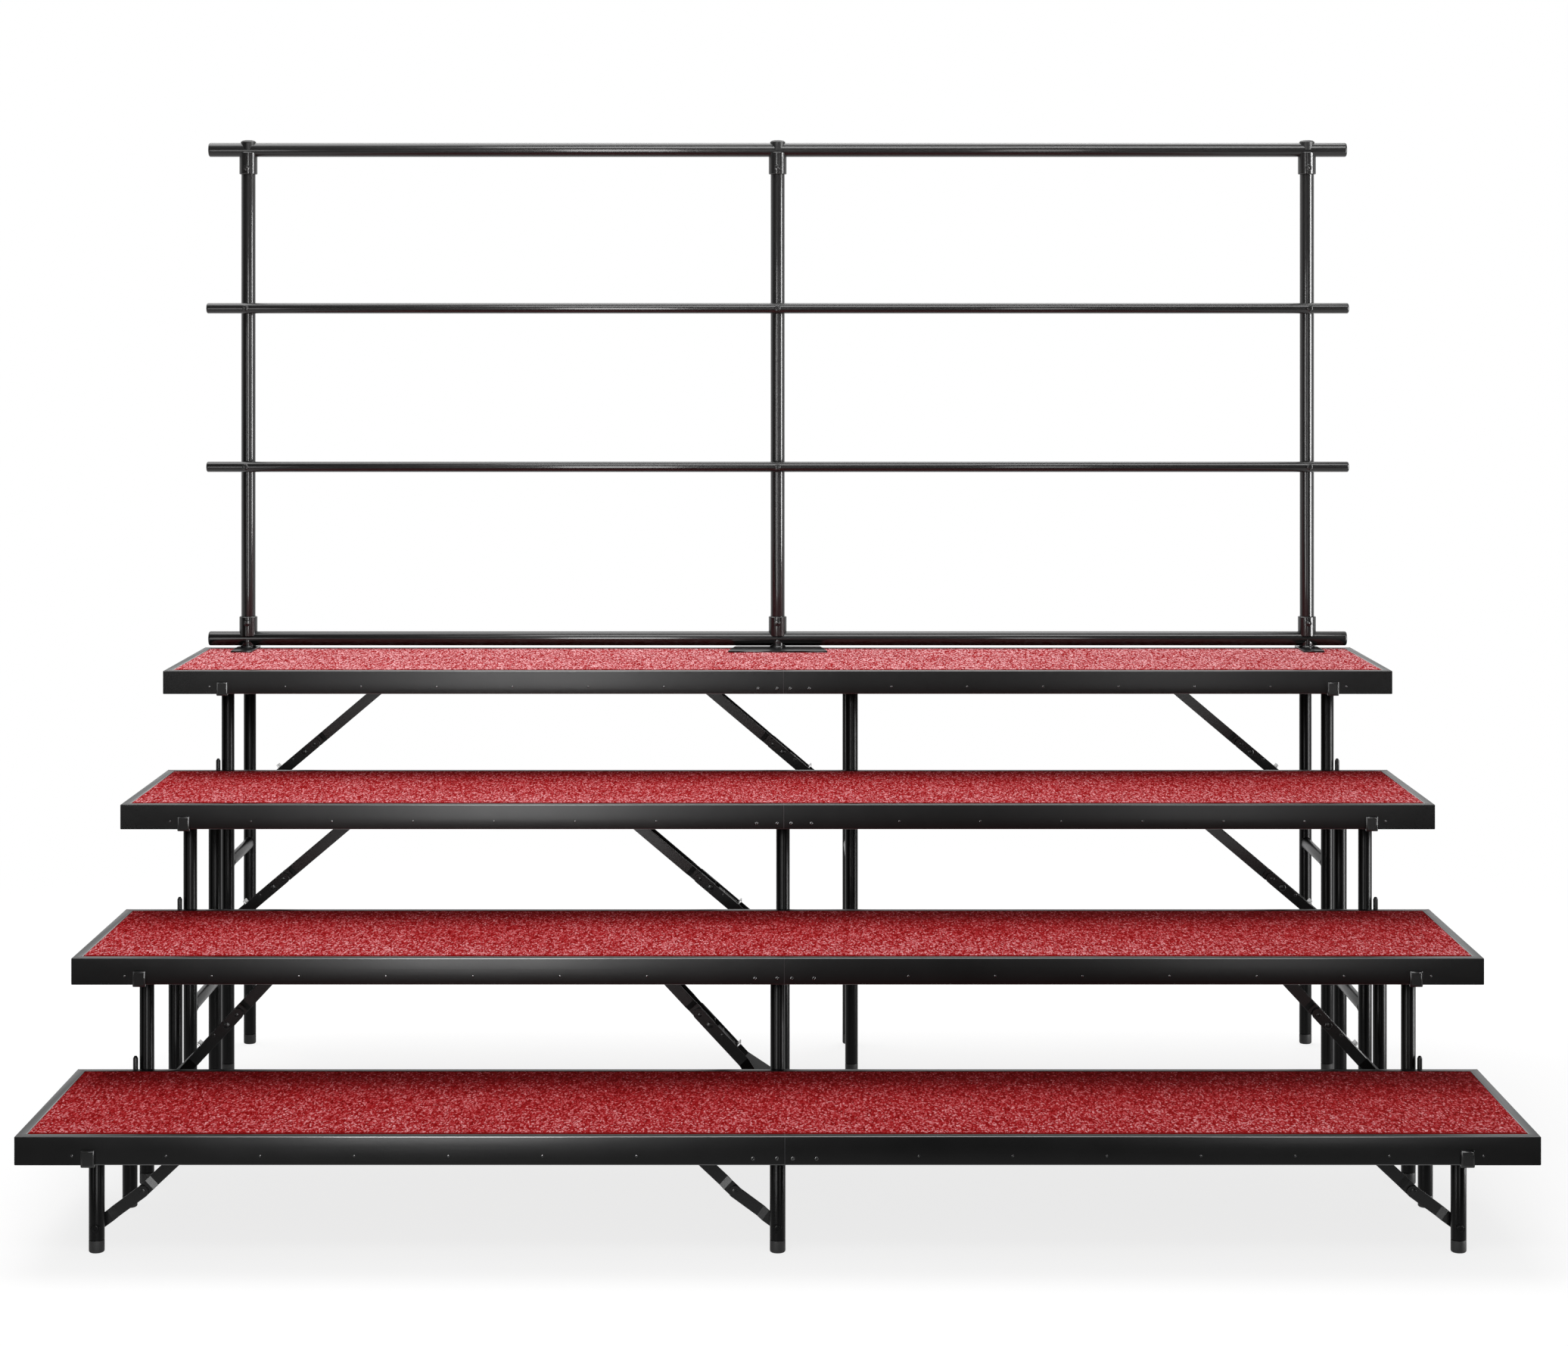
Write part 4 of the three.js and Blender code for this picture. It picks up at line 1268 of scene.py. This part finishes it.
def paintSky():
    # White behind the set, darker behind the camera, and softer for the light that it gives.
    world = bpy.data.worlds.new("whiteRoom")
    world.use_nodes = True
    bpy.context.scene.world = world
    sky = Network(world.node_tree)
    path = sky.node("ShaderNodeLightPath")
    camera = path.out("Is Camera Ray").larger(path.out("Is Transmission Ray"))
    glossRay = path.out("Is Glossy Ray")
    depthwise = sky.part(sky.node("ShaderNodeTexCoord").out("Generated"), "Y")
    behind = sky.spread(depthwise, *studio["skyTurn"], studio["skyBehindCamera"])
    light = 1 - camera.larger(glossRay)
    background = sky.tree.nodes["Background"].inputs
    sky.join(background["Strength"], camera.larger(glossRay * behind) + light * studio["skyForLight"])
    sky.join(background["Color"], grey(1))


def layFloor():
    # The camera sees it white with the shadow of the set, and from a few metres on only white.
    bm = bmesh.new()
    bmesh.ops.create_grid(bm, x_segments=1, y_segments=1, size=studio["floorSize"] / 2)
    mesh = bpy.data.meshes.new("studioFloor")
    bm.to_mesh(mesh)
    bm.free()
    finish = Finish("paleFloor")
    where = finish.place()
    path = finish.node("ShaderNodeLightPath")
    camera = path.out("Is Camera Ray").larger(path.out("Is Transmission Ray"))
    mirrored = finish.spread(finish.part(where, "Y"), *studio["floorMirrored"])
    seen = camera.larger(path.out("Is Glossy Ray") * mirrored)
    shade = seen * (studio["floorSeen"] - studio["floorAlbedo"]) + studio["floorAlbedo"]
    finish.set(colour=finish.greys(shade, ((0, 0), (1, 1))), roughness=studio["floorRoughness"], specular=0.0)
    glow = finish.node("ShaderNodeEmission", None, {"Strength": seen * studio["floorLift"]})
    lit = finish.node("ShaderNodeAddShader", None, {
        0: Wire(finish, finish.shader.outputs["BSDF"]), 1: glow.out("Emission"),
    })
    away = finish.node("ShaderNodeVectorMath", {"operation": "LENGTH"}, {0: where}).out("Value")
    fade = finish.spread(away, *studio["shadowReach"], interpolation_type="SMOOTHSTEP")
    white = finish.node("ShaderNodeEmission")
    both = finish.node("ShaderNodeMixShader", None, {0: fade * seen, 1: lit.out(), 2: white.out()})
    finish.join(finish.tree.nodes["Material Output"].inputs["Surface"], both.out())
    mesh.materials.append(finish.material)
    newObject("studioFloor", mesh)


placeCamera()
lightStudio()
paintSky()
layFloor()
print("camera, lamps and floor placed")

for level in levels:
    dressDeckFrame(level)
    frameScrews(level)
    frontClips(level)
    frameSeams(level)
    layCarpet(level)
print("decks made")

for level in levels:
    for place in places:
        makeLegFrame(level, place)
        if level == 1:
            makeShortBrace(place)
        else:
            makeLowerLink(level, place)
            makeUpperLink(level, place)
            makeLatch(level, place)
print("leg frames and braces made")

makeTopRail()
makeBottomRail()
for which in ("lower", "upper"):
    makeMidRail(which)
for place in places:
    makePost(place)
print("guard rail made")

bpy.context.scene.view_settings.view_transform = "Standard"
